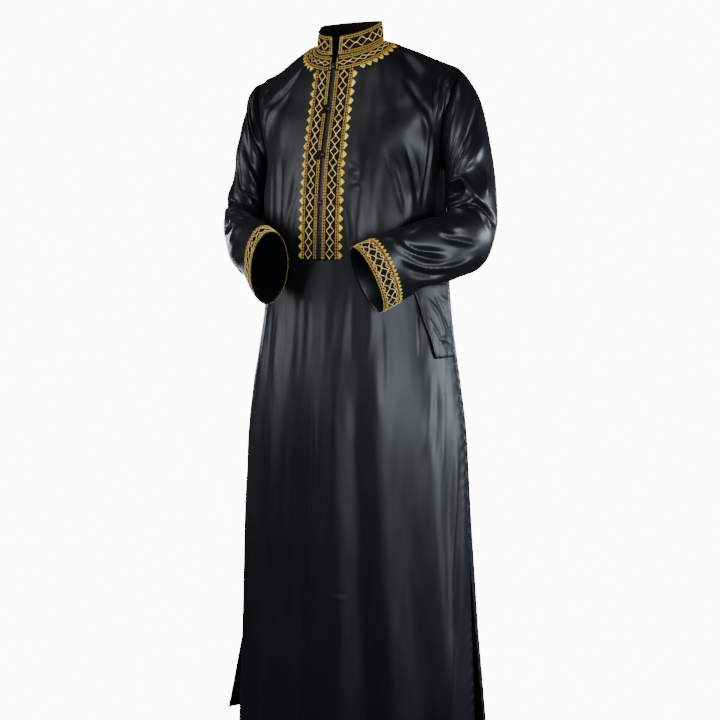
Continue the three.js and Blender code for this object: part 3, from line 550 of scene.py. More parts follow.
def bump(tree, height, strength, distance, below=None):
    made = node(tree, "Bump", Strength=strength, Distance=distance)
    tree.links.new(height, made.inputs["Height"])
    if below is not None:
        tree.links.new(below, made.inputs["Normal"])
    return made.outputs["Normal"]


def stretched_noise(tree, scale, stretch, detail=3.0, roughness=0.55):
    """Noise in the object's own metres, stretched along its axes."""
    where = node(tree, "TexCoord")
    mapping = node(tree, "Mapping", Scale=stretch)
    noise = node(tree, "TexNoise", Scale=scale, Detail=detail, Roughness=roughness)
    tree.links.new(where.outputs["Object"], mapping.inputs["Vector"])
    tree.links.new(mapping.outputs["Vector"], noise.inputs["Vector"])
    return noise.outputs["Fac"]


def satin_material(name, dark, light, rough=(0.33, 0.41)):
    """Black polyester satin: fine uneven floats, soft broad gloss, a little worn paler."""
    values = {"Specular IOR Level": 0.25, "Sheen Weight": 0.008, "Sheen Roughness": 0.4, "Anisotropic": 0.25}
    material, tree, shader = new_material(name, values)
    patches = stretched_noise(tree, 9.0, (1, 1, 0.5), 4.0)
    color = ramp(tree, patches, [(0.35, dark), (0.7, light)])
    tree.links.new(color, shader.inputs["Base Color"])
    grain = stretched_noise(tree, 900.0, (1, 1, 0.12), 2.0)
    gloss = node(tree, "MapRange")
    dial(gloss, {"From Min": 0.3, "From Max": 0.7, "To Min": rough[0], "To Max": rough[1]})
    tree.links.new(patches, gloss.inputs["Value"])
    tree.links.new(gloss.outputs["Result"], shader.inputs["Roughness"])
    crumple = stretched_noise(tree, 42.0, (1, 1, 0.35), 3.0)
    first = bump(tree, crumple, 0.12, 0.0012)
    tree.links.new(bump(tree, grain, 0.10, 0.00015, first), shader.inputs["Normal"])
    return material


def ground_material():
    """The brownish black ground of the bands, with fine gold flecks between the rows."""
    material, tree, shader = new_material("band_ground", {"Roughness": 0.8, "Specular IOR Level": 0.07})
    flecks = stretched_noise(tree, 620.0, (1, 1, 1), 2.0)
    color = ramp(tree, flecks, [(0.5, (0.003, 0.0019, 0.0015)), (0.7, (0.034, 0.016, 0.004))])
    tree.links.new(color, shader.inputs["Base Color"])
    tree.links.new(bump(tree, flecks, 0.5, 0.0004), shader.inputs["Normal"])
    return material


def thread_material(name, pale, mid, deep, twists):
    """Metallic gold thread; "twists" strands wind round it, read from the flat coordinates. Its colour
    runs with the twist from painted shade in the grooves between the strands (deep), through the gold
    (mid), to a painted highlight on the strands (pale).
    """
    material, tree, shader = new_material(name, {"Metallic": 0.2, "Roughness": 0.3})
    flat = node(tree, "UVMap", uv_map="flat")
    wave = node(tree, "TexWave", Scale=twists, Distortion=0.6, Detail=1.0, bands_direction="DIAGONAL")
    tree.links.new(flat.outputs["UV"], wave.inputs["Vector"])
    patch = stretched_noise(tree, 160.0, (1, 1, 1), 3.0)
    blend = node(tree, "Math", operation="MULTIPLY_ADD")
    tree.links.new(patch, blend.inputs[0])
    blend.inputs[1].default_value = 0.9
    tree.links.new(wave.outputs["Fac"], blend.inputs[2])
    # painted shade (deep) in the twist's grooves, the gold (mid), and a painted highlight (pale) on the
    # strands
    color = ramp(tree, blend.outputs["Value"], [(0.45, deep), (0.8, mid), (1.0, pale)])
    tree.links.new(color, shader.inputs["Base Color"])
    tree.links.new(bump(tree, wave.outputs["Fac"], 0.6, 0.0003), shader.inputs["Normal"])
    return material


def button_material():
    """Glossy black cord, faintly uneven."""
    material, tree, shader = new_material("button_gloss", {"Roughness": 0.16})
    specks = stretched_noise(tree, 300.0, (1, 1, 1), 2.0)
    color = ramp(tree, specks, [(0.3, (0.004, 0.004, 0.005)), (0.8, (0.012, 0.012, 0.014))])
    tree.links.new(color, shader.inputs["Base Color"])
    return material


DARK = (0.0027, 0.0029, 0.0033)
SATIN_FRONT = satin_material("satin_front", DARK, (0.0039, 0.0041, 0.0047), (0.38, 0.46))
SATIN_BACK = satin_material("satin_back", DARK, (0.0037, 0.004, 0.0045), (0.38, 0.46))
# The sleeves are the same satin as the front, their base colour painted about 1.6 times paler to stand in
# for more light falling on them.
SATIN_SLEEVE_PAINTED_PALER = satin_material(
    "satin_sleeve", (0.0043, 0.0046, 0.0052), (0.0062, 0.0067, 0.0075), (0.3, 0.39)
)
# The pocket is the same satin as the front, its base colour painted about 1.15 times paler to stand in for
# light on it.
SATIN_POCKET_PAINTED_PALER = satin_material(
    "satin_pocket", (0.0031, 0.0033, 0.0039), (0.0046, 0.0049, 0.0055), (0.43, 0.5)
)
GROUND = ground_material()
# Each gold thread's colours: a painted highlight, the gold itself, and painted shade for the grooves of its
# twist.
GOLD_CHAIN = thread_material(
    "gold_chain", (1.0, 0.70, 0.16), (0.82, 0.36, 0.025), (0.06, 0.014, 0.0015), 0.5
)
GOLD_CORD = thread_material(
    "gold_cord", (1.0, 0.82, 0.32), (0.93, 0.56, 0.11), (0.26, 0.095, 0.008), 0.35
)
GOLD_TEETH = thread_material(
    "gold_satin_stitch", (1.0, 0.72, 0.06), (0.92, 0.49, 0.015), (0.22, 0.08, 0.004), 0.7
)
PIPING = satin_material("piping", (0.008, 0.008, 0.009), (0.012, 0.012, 0.013))
BUTTON = button_material()

# ------------------------------------------------------------------ camera
CAMERA_AT = (1.5043, -2.7784, -0.3625)
CAMERA_LOOKS_AT = (0.002, 0.047, -0.6425)
LENS_MM = 76.55


def aim(obj, target):
    way = [t - s for t, s in zip(target, obj.location)]
    obj.rotation_mode = "QUATERNION"
    obj.rotation_quaternion = Vector(way).to_track_quat("-Z", "Y")


camera_data = bpy.data.cameras.new("camera")
camera_data.lens = LENS_MM
camera_data.sensor_width = 36
camera_data.clip_end = 100
camera = bpy.data.objects.new("camera", camera_data)
camera.location = CAMERA_AT
aim(camera, CAMERA_LOOKS_AT)
bpy.context.scene.collection.objects.link(camera)
bpy.context.scene.camera = camera

# ------------------------------------------------------------------ front and back panels
YOKE_STEPS = 6  # rows of the mesh for each row of the yoke
LOWER_STEP = 4.9  # millimetres between rows below
SIDE_COLUMNS = 72
HEM_TURN = 18  # height of the turned hem
SLIT_STRIP = 3  # cells across the front opening, left out above its end

# Creases of the front, each as points of (distance from the centre along the cloth, plus to the
# wearer's left; height), then half width, depth and lean.
FRONT_CREASES = (
    # long folds from the left shoulder to the armpit, and down beside the arm
    (((150, -68), (178, -100), (202, -127), (222, -150)), 7, -6, 0.2),
    (((176, -108), (200, -145), (211, -185), (212, -250), (206, -330)), 7, 6.5, -0.2),
    (((205, -150), (216, -200), (218, -260), (214, -335)), 5, -5, 0),
    (((222, -165), (226, -240), (224, -330)), 6, 5, 0),
    (((138, -6), (168, -40), (192, -82)), 15, -4, 0),
    (((160, -10), (196, -36), (222, -72)), 12, 3.5, 0),
    # the fan of pinched folds at the left armhole
    (((243, -52), (231, -82), (224, -118), (228, -152)), 4.5, -5, 0.2),
    (((247, -62), (246, -92), (240, -128), (234, -158)), 4, -5, 0),
    (((239, -72), (234, -110), (232, -148)), 4.5, 4.5, 0),
    (((252, -78), (249, -112), (240, -156)), 4, 4.5, 0),
    (((257, -84), (256, -114), (246, -156)), 4, -4.5, 0),
    (((264, -52), (261, -92), (252, -146)), 6, 4.5, 0),
    (((226, -86), (220, -120), (224, -150)), 5, 3, 0),
    # left chest: soft uprights, and the sharper ones that lean out towards the elbow
    (((84, -215), (84, -300), (82, -385)), 9, 1.7, 0),
    (((98, -212), (100, -290), (101, -378)), 6, -1.8, 0),
    (((110, -210), (116, -290), (130, -372)), 8, 1.8, 0),
    (((122, -200), (137, -240), (151, -272), (163, -310), (173, -350)), 6, -3.4, 0.25),
    (((138, -210), (155, -262), (170, -330)), 7, 2.7, 0),
    (((150, -246), (160, -290), (172, -352)), 4, -2.4, 0),
    (((160, -212), (176, -268), (190, -346)), 9, 3.9, -0.2),
    (((161, -188), (178, -228), (192, -266), (202, -325)), 6, -3.8, 0.3),
    (((184, -212), (198, -268), (206, -335)), 6, 2.6, 0),
    # puckers beside the left band
    (((57, -236), (66, -246), (76, -246)), 4, 2.2, 0),
    (((57, -250), (68, -260), (80, -258)), 4, -2.2, 0),
    (((57, -268), (70, -276), (84, -270)), 4, 1.8, 0),
    (((57, -284), (72, -290), (88, -282)), 5, -1.8, 0),
    (((54, -318), (60, -352), (66, -400)), 3.6, 2.4, 0),
    (((58, -316), (66, -352), (74, -402)), 3.6, -2.4, 0),
    (((64, -322), (74, -356), (84, -398)), 5, 1.8, 0),
    # right shoulder to armpit
    (((-92, -26), (-120, -58), (-150, -92), (-206, -138)), 8, -6.5, -0.2),
    (((-112, -66), (-142, -104), (-194, -152)), 7, 4.5, 0),
    (((-148, -74), (-176, -104), (-206, -122)), 4, -3.6, 0),
    (((-166, -128), (-184, -158), (-196, -196)), 5, 3.6, 0),
    (((-180, -118), (-194, -142), (-202, -172)), 4, -4, 0),
    (((-216, -70), (-214, -100), (-206, -132)), 5, 4, 0),
    (((-228, -64), (-224, -96), (-212, -128)), 4, -4.5, 0),
    (((-240, -60), (-236, -86), (-222, -118)), 5, 4, 0),
    # right chest
    (((-66, -236), (-72, -300), (-82, -340), (-94, -392)), 6, -3.5, -0.2),
    (((-62, -300), (-68, -350), (-76, -400)), 5, 2.5, 0),
    (((-100, -214), (-98, -300), (-102, -392)), 9, 2.4, 0),
    (((-119, -212), (-112, -300), (-114, -396)), 5, -2.7, 0),
    (((-132, -216), (-127, -300), (-128, -396)), 7, 2.1, 0),
    (((-150, -220), (-145, -300), (-142, -400)), 6, -2.4, 0),
    # small gathers under the hands
    (((-64, -470), (-62, -560), (-66, -700)), 6, 1.6, 0),
    (((-48, -465), (-47, -560), (-50, -720)), 5, -1.8, 0),
    (((-36, -470), (-35, -540), (-36, -680)), 5, 1.5, 0),
    (((-26, -468), (-26, -560), (-28, -660)), 4.5, -1.6, 0),
    (((-16, -475), (-15, -560), (-14, -640)), 5, 1.5, 0),
    (((18, -480), (17, -560), (14, -690)), 5, 1.5, 0),
    (((33, -470), (34, -540), (30, -620)), 4.5, -1.2, 0),
    (((52, -480), (54, -560), (50, -640)), 5, 1.2, 0),
    (((70, -475), (72, -560), (76, -660)), 5, -1.3, 0),
    (((106, -480), (110, -560), (104, -640)), 6, 1.2, 0),
    (((124, -500), (132, -560), (139, -640), (142, -730)), 4.5, -1.9, 0.2),
    (((140, -520), (148, -600), (152, -740)), 6, 1.5, 0),
    (((-84, -500), (-88, -600), (-92, -720)), 5, -1.5, 0),
    (((-106, -500), (-110, -600), (-114, -720)), 6, 1.5, 0),
    (((-128, -480), (-134, -580), (-140, -720)), 5, -1.7, 0),
    (((-150, -470), (-158, -580), (-166, -740)), 6, 1.5, 0),
    # the one sharp line down the skirt, dark on its right side and bright on its left
    (((-9, -560), (-10, -700), (-12, -860), (-24, -1080), (-38, -1320)), 6, -3.7, 0.35),
    (((6, -600), (5, -760), (2, -900), (-10, -1100), (-20, -1330)), 9, 3.1, 0),
    # soft long hangs
    (((38, -640), (40, -800), (44, -1040)), 14, 2.2, 0),
    (((82, -660), (86, -850), (92, -1150), (98, -1380)), 13, -2.8, 0),
    (((120, -700), (132, -900), (148, -1180)), 15, 2.8, 0),
    (((168, -780), (176, -980), (186, -1240)), 12, -2.8, 0),
    (((205, -760), (222, -980), (238, -1240)), 15, 2.8, 0),
    (((-70, -700), (-76, -900), (-84, -1180)), 11, -2.8, 0),
    (((-104, -660), (-112, -880), (-126, -1200)), 13, 2.8, 0),
    (((-150, -700), (-164, -920), (-178, -1220)), 11, -2.5, 0),
    (((-196, -760), (-212, -1000), (-232, -1300)), 12, 2.8, 0),
    # drags from the pocket
    (((244, -640), (240, -720), (226, -840)), 8, 2.5, 0),
    (((262, -640), (262, -730), (252, -860)), 7, -2.5, 0),
    (((280, -650), (284, -760), (276, -900)), 8, 2.4, 0),
    (((222, -500), (232, -560), (240, -620)), 6, 2.1, 0),
    (((208, -500), (214, -570), (220, -660)), 6, -2.1, 0),
    # the crest beside the left side seam, and the recess behind it
    (((330, -760), (328, -900), (322, -1040), (312, -1240), (304, -1420)), 9, 8, 0.2),
    (((350, -780), (350, -900), (348, -1040), (342, -1240), (338, -1420)), 11, -8, 0),
    # the small pinch low on the skirt
    (((44, -1090), (58, -1094), (74, -1091)), 3, -0.9, 0.3),
    (((40, -1098), (58, -1103), (76, -1099)), 5, 0.6, 0),
)
# Creases of the back, plus to the wearer's left, placed like those of the front.
BACK_CREASES = (
    (((196, -70), (168, -120), (140, -190), (118, -300)), 9, 5.5, 0.2),
    (((214, -92), (186, -150), (160, -230), (142, -330)), 8, -5.5, 0),
    (((226, -110), (208, -160), (188, -230), (172, -340)), 8, 5, 0),
    (((-194, -66), (-164, -118), (-144, -196), (-126, -310)), 9, 5.5, -0.2),
    (((-212, -94), (-184, -156), (-166, -236), (-150, -320)), 8, -5.5, 0),
    (((-228, -106), (-212, -156), (-196, -226), (-180, -345)), 8, 5, 0),
    (((236, -70), (232, -110), (222, -158)), 5, -4.5, 0),
    (((246, -80), (240, -120), (230, -168)), 5, 4.5, 0),
    (((-236, -74), (-230, -114), (-220, -160)), 5, -4.5, 0),
    (((-248, -78), (-242, -118), (-232, -170)), 5, 4.5, 0),
    (((70, -150), (66, -240), (58, -360)), 10, -3.5, 0),
    (((96, -140), (92, -240), (84, -380)), 9, 3.2, 0),
    (((-64, -160), (-62, -250), (-52, -370)), 10, -3.5, 0),
    (((-92, -150), (-88, -240), (-78, -360)), 9, 3.2, 0),
    (((14, -180), (12, -280), (6, -400)), 12, 3, 0),
    (((-16, -200), (-14, -300), (-10, -420)), 10, -3, 0),
    # across the small of the back
    (((-150, -420), (-80, -446), (-10, -440), (70, -450)), 10, 4, 0.2),
    (((-110, -462), (-30, -478), (60, -470), (130, -448)), 9, -4, 0),
    (((-70, -500), (10, -508), (90, -496)), 10, 3.6, 0),
    (((150, -410), (104, -432), (60, -424)), 8, 3.4, 0),
    # hanging down the skirt
    (((-150, -520), (-158, -700), (-172, -960), (-184, -1240)), 11, 3.8, 0.2),
    (((-122, -540), (-128, -740), (-138, -1000), (-146, -1300)), 10, -4.2, 0),
    (((-92, -520), (-94, -700), (-100, -980), (-104, -1240)), 11, 3.5, 0),
    (((-52, -540), (-54, -760), (-58, -1040)), 10, -3.1, 0),
    (((-26, -560), (-27, -760), (-30, -1080), (-32, -1340)), 8, 3.8, 0.3),
    (((18, -540), (20, -720), (20, -1000)), 10, -3.5, 0),
    (((52, -520), (56, -720), (60, -1020), (64, -1330)), 11, 3.5, 0),
    (((90, -540), (94, -760), (102, -1060)), 10, -3.5, 0),
    (((126, -520), (134, -720), (146, -1000), (154, -1300)), 12, 3.8, 0),
    (((160, -560), (172, -780), (188, -1080)), 10, -3.8, 0),
    (((200, -600), (214, -860), (232, -1180)), 12, 3.5, 0),
    (((-204, -600), (-220, -880), (-238, -1200)), 12, 3.1, 0),
    (((-240, -760), (-258, -1000), (-276, -1300)), 10, -3.1, 0),
    (((246, -760), (262, -1000), (280, -1300)), 10, -3.1, 0),
)
# Irregular puckers along the side seams: pitch, height and how far in they reach.
SEAM_PUCKERS = (27, 1.4, 20)
# Slow unevenness of the panels: length across, length down, height.
PANEL_WAVES = ((90, 400, 0.55), (45, 160, 0.2))
SEAM_SINK, SEAM_SINK_HALF = 1.3, 2.2  # the seams are drawn in
HEM_STEP = 0.5  # the turned hem stands out by the cloth's second layer
BACK_START = 0.02  # where the back's columns start, beside its middle
JOINT_ROWS = 9  # rows over which the yoke runs into the body


def panel_rows():
    """The mesh's rows, with one of them exactly at the end of the front opening."""
    upper = np.arange(0, ARMPIT_ROW * YOKE_STEPS) / YOKE_STEPS
    count = round((ARMPIT_Z - HEM_Z) / LOWER_STEP)
    to_slit = round((ARMPIT_Z - SLIT_LAST_Z) / LOWER_STEP)
    first = np.linspace(0, ARMPIT_Z - SLIT_LAST_Z, to_slit, endpoint=False)
    rest = np.linspace(ARMPIT_Z - SLIT_LAST_Z, ARMPIT_Z - HEM_Z, count - to_slit + 1)
    return np.concatenate([upper, ARMPIT_ROW + np.concatenate([first, rest])])


ROWS = panel_rows()
ROW_Z = ARMPIT_Z - np.maximum(ROWS - ARMPIT_ROW, 0)
SLIT_ROW = int(np.argmin(np.abs(ROWS - (ARMPIT_ROW + ARMPIT_Z - SLIT_LAST_Z))))


def panel_grid(face):
    """Points of a whole panel: the front from the wearer's right to the left, the back from the
    left to the right, so that both run the same way round."""
    rows = ROWS[:, None]
    share = np.linspace(0, 1, SIDE_COLUMNS)[None, :]
    start = u_at_x(ROWS, SLIT_HALF)[:, None] if face > 0 else BACK_START
    u = mix(start, 1, share)
    near, far = panel_point(face, -face, rows, u), panel_point(face, face, rows, u)
    middle = [mix(near[:, :1], far[:, :1], (k + 1) / SLIT_STRIP) for k in range(SLIT_STRIP - 1)]
    grid = np.concatenate([near[:, ::-1], *middle, far], axis=1)
    # smoothed more where the yoke runs into the body, away from the side seams
    joint = bell((np.arange(len(ROWS)) - ARMPIT_ROW * YOKE_STEPS) / JOINT_ROWS)
    share = (joint[:, None] * smoothstep(from_edges(grid.shape[1]) / 0.15))[..., None]
    return mix(blur_rows(grid, 1.6, 4), blur_rows(grid, 7, 21), share)


def seam_puckers(face, along, z, reach):
    """Puckers drawn in by the stitching of the side seams, uneven in pitch and height."""
    pitch, high, deep = SEAM_PUCKERS
    side = np.sign(along) * face
    phase = 2 * np.pi * z / pitch + 1.9 * np.sin(z / 61 + side) + 1.3 * np.sin(z / 23 + 2 * side)
    uneven = 0.55 + 0.45 * np.sin(z / 97 + 3 * side)
    slope = 2 * np.pi * 0.35 * reach / pitch
    fade = bell(reach / deep) * smoothstep(reach / 3)
    return high * uneven * np.sin(phase + slope) * fade * smoothstep((ARMPIT_Z - 20 - z) / 60)


def dress_panel(face, marks, seed):
    """A panel's grid with its creases, seam puckers and slow unevenness, and its normals."""
    grid = panel_grid(face)
    columns = grid.shape[1]
    along = arc_length(grid, columns // 2) * face
    z = grid[..., 2]
    height = creases(marks, along, z)
    height += ripples(along, z, PANEL_WAVES, seed) * smoothstep(from_edges(columns) / 0.1)
    reach = np.minimum(np.abs(along - along[:, :1]), np.abs(along - along[:, -1:]))
    height += seam_puckers(face, along, z, reach)
    height *= smoothstep((ROWS[:, None] - 0.3) / 1.7)
    height -= SEAM_SINK * bell(reach / SEAM_SINK_HALF) * (z > SIDE_SLIT_TOP)
    height += HEM_STEP * smoothstep((HEM_TURN - (z - HEM_Z)) / 3) * (z < HEM_Z + 2 * HEM_TURN)
    out = grid + grid_normals(grid) * height[..., None]
    return out, grid_normals(out)


front_grid, front_normals = dress_panel(1, FRONT_CREASES, 11)
back_grid, back_normals = dress_panel(-1, BACK_CREASES, 12)
PANEL_ROWS, PANEL_COLUMNS = front_grid.shape[:2]
slit_cells = np.zeros((PANEL_ROWS - 1, PANEL_COLUMNS - 1), bool)
slit_cells[:SLIT_ROW, SIDE_COLUMNS - 1 : SIDE_COLUMNS - 1 + SLIT_STRIP] = True
panel_faces = grid_faces(PANEL_ROWS, PANEL_COLUMNS)
front_panel = cloth("front_panel", front_grid, panel_faces[~slit_cells.ravel()], SATIN_FRONT)
back_panel = cloth("back_panel", back_grid, panel_faces, SATIN_BACK)

# ------------------------------------------------------------------ sleeves
SLEEVE_AROUND = 100
SLEEVE_RINGS = 128
SLEEVE_TURNS = np.linspace(0, 360, SLEEVE_AROUND, endpoint=False)
ARMHOLE_BLEND = 0.4  # stations over which a sleeve is drawn to the armhole
GATHERS = 17  # let into the armhole, of 0.3 mm
AROUND_MM = 1.12  # millimetres of cloth for each degree round a sleeve
STATION_MM = 52  # and for each station along it
CREASE_WIDE, CREASE_DEEP = 0.88, 1.2  # the sleeves' creases are sharper than their rows say

# Creases of the sleeves, each as points of (degrees round, station), then half width, depth, lean.
LEFT_SLEEVE_CREASES = (
    # the long fold from the shoulder's outside to the crook of the elbow
    (((2, 1.8), (36, 2.6), (68, 3.05), (98, 3.3), (140, 3.9)), 11, -6.4, 0.25),
    (((20, 1.0), (60, 1.7), (100, 2.1), (140, 2.6)), 15, 4, 0),
    (((14, 3.1), (50, 3.7), (84, 3.9)), 16, 4.4, 0),
    # the hollow in the crook and its rolled rim
    (((132, 4.45), (102, 4.6), (74, 4.9)), 13, -12, 0),
    (((150, 3.7), (115, 3.85), (84, 4.2), (64, 4.95), (50, 5.45), (28, 5.8)), 7, 7, 0.2),
    (((74, 5.45), (46, 5.8), (12, 6.1), (-20, 6.2)), 8, -8, -0.2),
    (((158, 4.95), (112, 5.2), (74, 5.35)), 7, 4.5, 0),
    (((90, 6.1), (60, 6.3), (30, 6.5), (-6, 6.6)), 6.5, 7, 0.2),
    (((120, 6.5), (80, 6.8), (44, 6.95)), 6, -5, 0),
    (((30, 4.3), (32, 4.8), (36, 5.3)), 5, 4, 0),
    # the forearm: one broad bulge, a dark band, and long curved folds towards the elbow
    (((60, 7.4), (40, 7.9), (30, 8.1)), 20, 4, 0),
    (((36, 8.6), (14, 8.0), (-6, 7.3)), 7, -4, 0),
    (((56, 8.5), (36, 8.4), (18, 8.0)), 6, 2.9, 0),
    (((84, 10.0), (40, 9.8), (16, 9.5), (0, 9.1), (-10, 8.6), (-8, 8.2)), 5.5, 6, 0.25),
    (((60, 9.9), (26, 9.55), (10, 9.0), (-2, 8.4)), 6, -5.2, 0),
    (((46, 10.1), (18, 9.95), (-6, 9.6), (-18, 9.1), (-25, 8.4), (-26, 7.4)), 6.5, 6.4, -0.2),
    (((14, 10.05), (-14, 9.6), (-34, 9.0), (-34, 8.2)), 9, -6.4, 0),
    (((58, 9.6), (66, 9.0), (78, 8.5)), 8, 3.6, 0),
    (((-50, 9.8), (-56, 8.8), (-50, 7.6)), 9, 3.2, 0),
    (((-70, 9.4), (-80, 8.4), (-76, 7.2)), 9, -3.6, 0),
    # the hidden back of the arm
    (((-60, 1.0), (-84, 2.2), (-100, 3.6)), 10, -5, 0),
    (((-40, 1.6), (-60, 3.0), (-84, 4.4)), 11, 5, 0),
    (((-70, 4.2), (-50, 5.2), (-24, 5.8)), 9, -5, 0),
    (((-100, 5.0), (-70, 5.9), (-40, 6.4)), 9, 5, 0),
)
RIGHT_SLEEVE_CREASES = (
    (((24, 0.55), (62, 0.5), (104, 0.25), (118, 0.5)), 5, -3.6, 0),
    (((40, 0.9), (84, 0.95), (112, 0.72), (136, 0.6), (160, 0.9), (176, 1.9)), 8, -5.3, 0.2),
    (((60, 0.75), (98, 0.6), (122, 0.5)), 4, 3, 0),
    (((94, 1.5), (120, 1.4), (150, 1.7)), 10, 3, 0),
    (((96, 2.6), (118, 3.2), (150, 3.8)), 17, 4.3, 0),
    (((30, 2.2), (56, 3.4), (76, 4.3), (110, 4.6), (150, 4.4)), 11, -5.9, 0.2),
    (((84, 4.4), (112, 4.75), (136, 5.2)), 5, 3.6, 0),
    (((40, 4.5), (70, 5.2), (110, 5.5)), 7, -3.6, 0),
    (((20, 1.6), (30, 3.0), (40, 4.2)), 10, 3, 0),
    # the crook of the elbow and the forearm's first folds
    (((28, 6.9), (60, 7.2), (100, 7.6)), 6, 3.6, 0),
    (((24, 7.3), (60, 7.7), (96, 8.2)), 6, -4.3, 0),
    (((20, 7.7), (48, 8.5), (68, 9.1), (96, 9.6)), 5, 4.3, 0.2),
    (((-6, 7.4), (34, 8.6), (60, 9.3)), 7, -4.6, 0),
    (((-8, 8.3), (26, 9.1), (56, 9.6)), 9, 3.3, 0),
    (((-12, 9.0), (10, 9.6), (30, 9.9)), 8, -3, 0),
    (((-30, 8.2), (-14, 9.4), (0, 10.0)), 10, 3, 0),
    (((-60, 8.6), (-44, 9.6), (-30, 10.1)), 9, -2.6, 0),
    (((-80, 7.2), (-70, 8.4), (-56, 9.6)), 10, 3, 0),
    # the hidden back of the arm
    (((-60, 1.0), (-84, 2.2), (-100, 3.6)), 10, -3.3, 0),
    (((-36, 1.4), (-60, 2.8), (-84, 4.2)), 11, 3.3, 0),
    (((-76, 4.0), (-50, 5.0), (-20, 5.9)), 9, -3.6, 0),
    (((-100, 5.0), (-70, 5.8), (-36, 6.4)), 9, 3.3, 0),
    (((-90, 6.2), (-56, 6.8), (-20, 7.1)), 8, -3.3, 0),
)


def armhole(side, around):
    """The panels' edge that a sleeve's first ring meets."""
    in_front = around <= 180
    from_tip = np.where(in_front, around, 360 - around) / 180
    row = mix(TIP_ROW, ARMPIT_ROW, from_tip)
    index = np.interp(row, ROWS, np.arange(PANEL_ROWS))
    left_edge, right_edge = PANEL_COLUMNS - 1, 0
    front_edge = sample(front_grid, index, left_edge if side > 0 else right_edge)
    back_edge = sample(back_grid, index, right_edge if side > 0 else left_edge)
    return np.where(in_front[:, None], front_edge, back_edge)


def outward(grid, normals):
    """The normals of a closed tube, turned to point away from its middle."""
    away = (grid - grid.mean(axis=1, keepdims=True)) * normals
    return normals if away.sum() > 0 else -normals


def sleeve_rings(table, side, at):
    """A sleeve's plain rings at the stations, and the directions that lead out of them."""
    grid = sleeve_point(table, side, at[:, None], SLEEVE_TURNS[None, :])
    return grid, outward(grid, grid_normals(grid, closed=True))


def dress_sleeve(table, side, marks, seed):
    """A sleeve's grid with its creases and slow unevenness, its first ring on the armhole."""
    at = np.linspace(0, LAST_STATION, SLEEVE_RINGS)
    grid = sleeve_point(table, side, at[:, None], SLEEVE_TURNS[None, :])
    gap = armhole(side, SLEEVE_TURNS) - grid[0]
    grid = grid + gap[None] * (1 - smoothstep(at / ARMHOLE_BLEND))[:, None, None]
    normals = outward(grid, grid_normals(grid, closed=True))
    a = np.broadcast_to(SLEEVE_TURNS * AROUND_MM, grid.shape[:2])
    b = np.broadcast_to((at * STATION_MM)[:, None], grid.shape[:2])
    scaled = []
    for points, wide, deep, lean in marks:
        line = [(turned * AROUND_MM, station * STATION_MM) for turned, station in points]
        scaled.append((line, wide * CREASE_WIDE, deep * CREASE_DEEP, lean))
    height = creases(scaled, a, b, wrap=360 * AROUND_MM)
    turns = np.radians(SLEEVE_TURNS)[None, :]
    draw = np.random.default_rng(seed)
    for k in range(1, 4):
        height = height + 0.5 * np.sin(k * turns + b / draw.uniform(30, 60) + draw.uniform(0, 6))
    height *= (smoothstep((at - 0.05) / 0.35) * smoothstep((CREASES_END - at) / 0.5))[:, None]
    # gathers let into the armhole, and the seam itself drawn in
    gathers = 0.3 * np.sin(turns * GATHERS + 2 * np.sin(turns * 3))
    height = height + gathers * bell((at - 0.3) / 0.35)[:, None] - SEAM_SINK * bell(b / 2.6)
    return grid + normals * height[..., None]


sleeve_faces = grid_faces(SLEEVE_RINGS, SLEEVE_AROUND, closed=True)
left_grid = dress_sleeve(SLEEVE_LEFT, 1, LEFT_SLEEVE_CREASES, 21)
right_grid = dress_sleeve(SLEEVE_RIGHT, -1, RIGHT_SLEEVE_CREASES, 22)
sleeves = {
    "sleeve_left": cloth("sleeve_left", left_grid, sleeve_faces[:, ::-1], SATIN_SLEEVE_PAINTED_PALER),
    "sleeve_right": cloth("sleeve_right", right_grid, sleeve_faces, SATIN_SLEEVE_PAINTED_PALER),
}


# ------------------------------------------------------------------ bands as flat strips
class Strip:
    """A band's surface laid flat: s runs along it and t across it from its plain edge, in
    millimetres. wrap() brings flat points, with a height, back onto it."""

    def __init__(self, grid, normals, closed=False):
        if closed:
            grid = np.concatenate([grid, grid[:, :1]], axis=1)
            normals = np.concatenate([normals, normals[:, :1]], axis=1)
        self.grid, self.normals = grid, normals
        self.s = run_along(grid[len(grid) // 2])
        across = np.linalg.norm(np.diff(grid, axis=0), axis=-1).mean(axis=1)
        self.t = np.concatenate([[0], np.cumsum(across)])
        self.length, self.width = self.s[-1], self.t[-1]
        self.closed = closed

    def wrap(self, flat):
        s, t, lift = np.asarray(flat, float).T
        if self.closed:
            s = s % self.length
        x = np.interp(s, self.s, np.arange(len(self.s)))
        y = np.interp(t, self.t, np.arange(len(self.t)))
        return sample(self.grid, y, x) + unit(sample(self.normals, y, x)) * lift[:, None]


class Stitches:
    """Collects small flat shapes and makes one mesh of them."""

    def __init__(self):
        self.points, self.faces, self.count = [], [], 0

    def add(self, points, faces):
        self.points.append(np.asarray(points, float))
        self.faces.append(np.asarray(faces) + self.count)
        self.count += len(points)

    def copies(self, points, faces, places):
        """One copy of a shape at each flat (s, t) place."""
        moved = points[None] + np.column_stack([places, np.zeros(len(places))])[:, None, :]
        step = np.arange(len(places))[:, None, None] * len(points)
        self.add(moved.reshape(-1, 3), (faces[None] + step).reshape(-1, 4))

    def build(self, name, strip, material):
        flat = np.concatenate(self.points)
        uv = flat[:, :2] + flat[:, 2:]
        obj = make_mesh(name, strip.wrap(flat), np.concatenate(self.faces), material, uv)
        return finish_piece(obj, [])


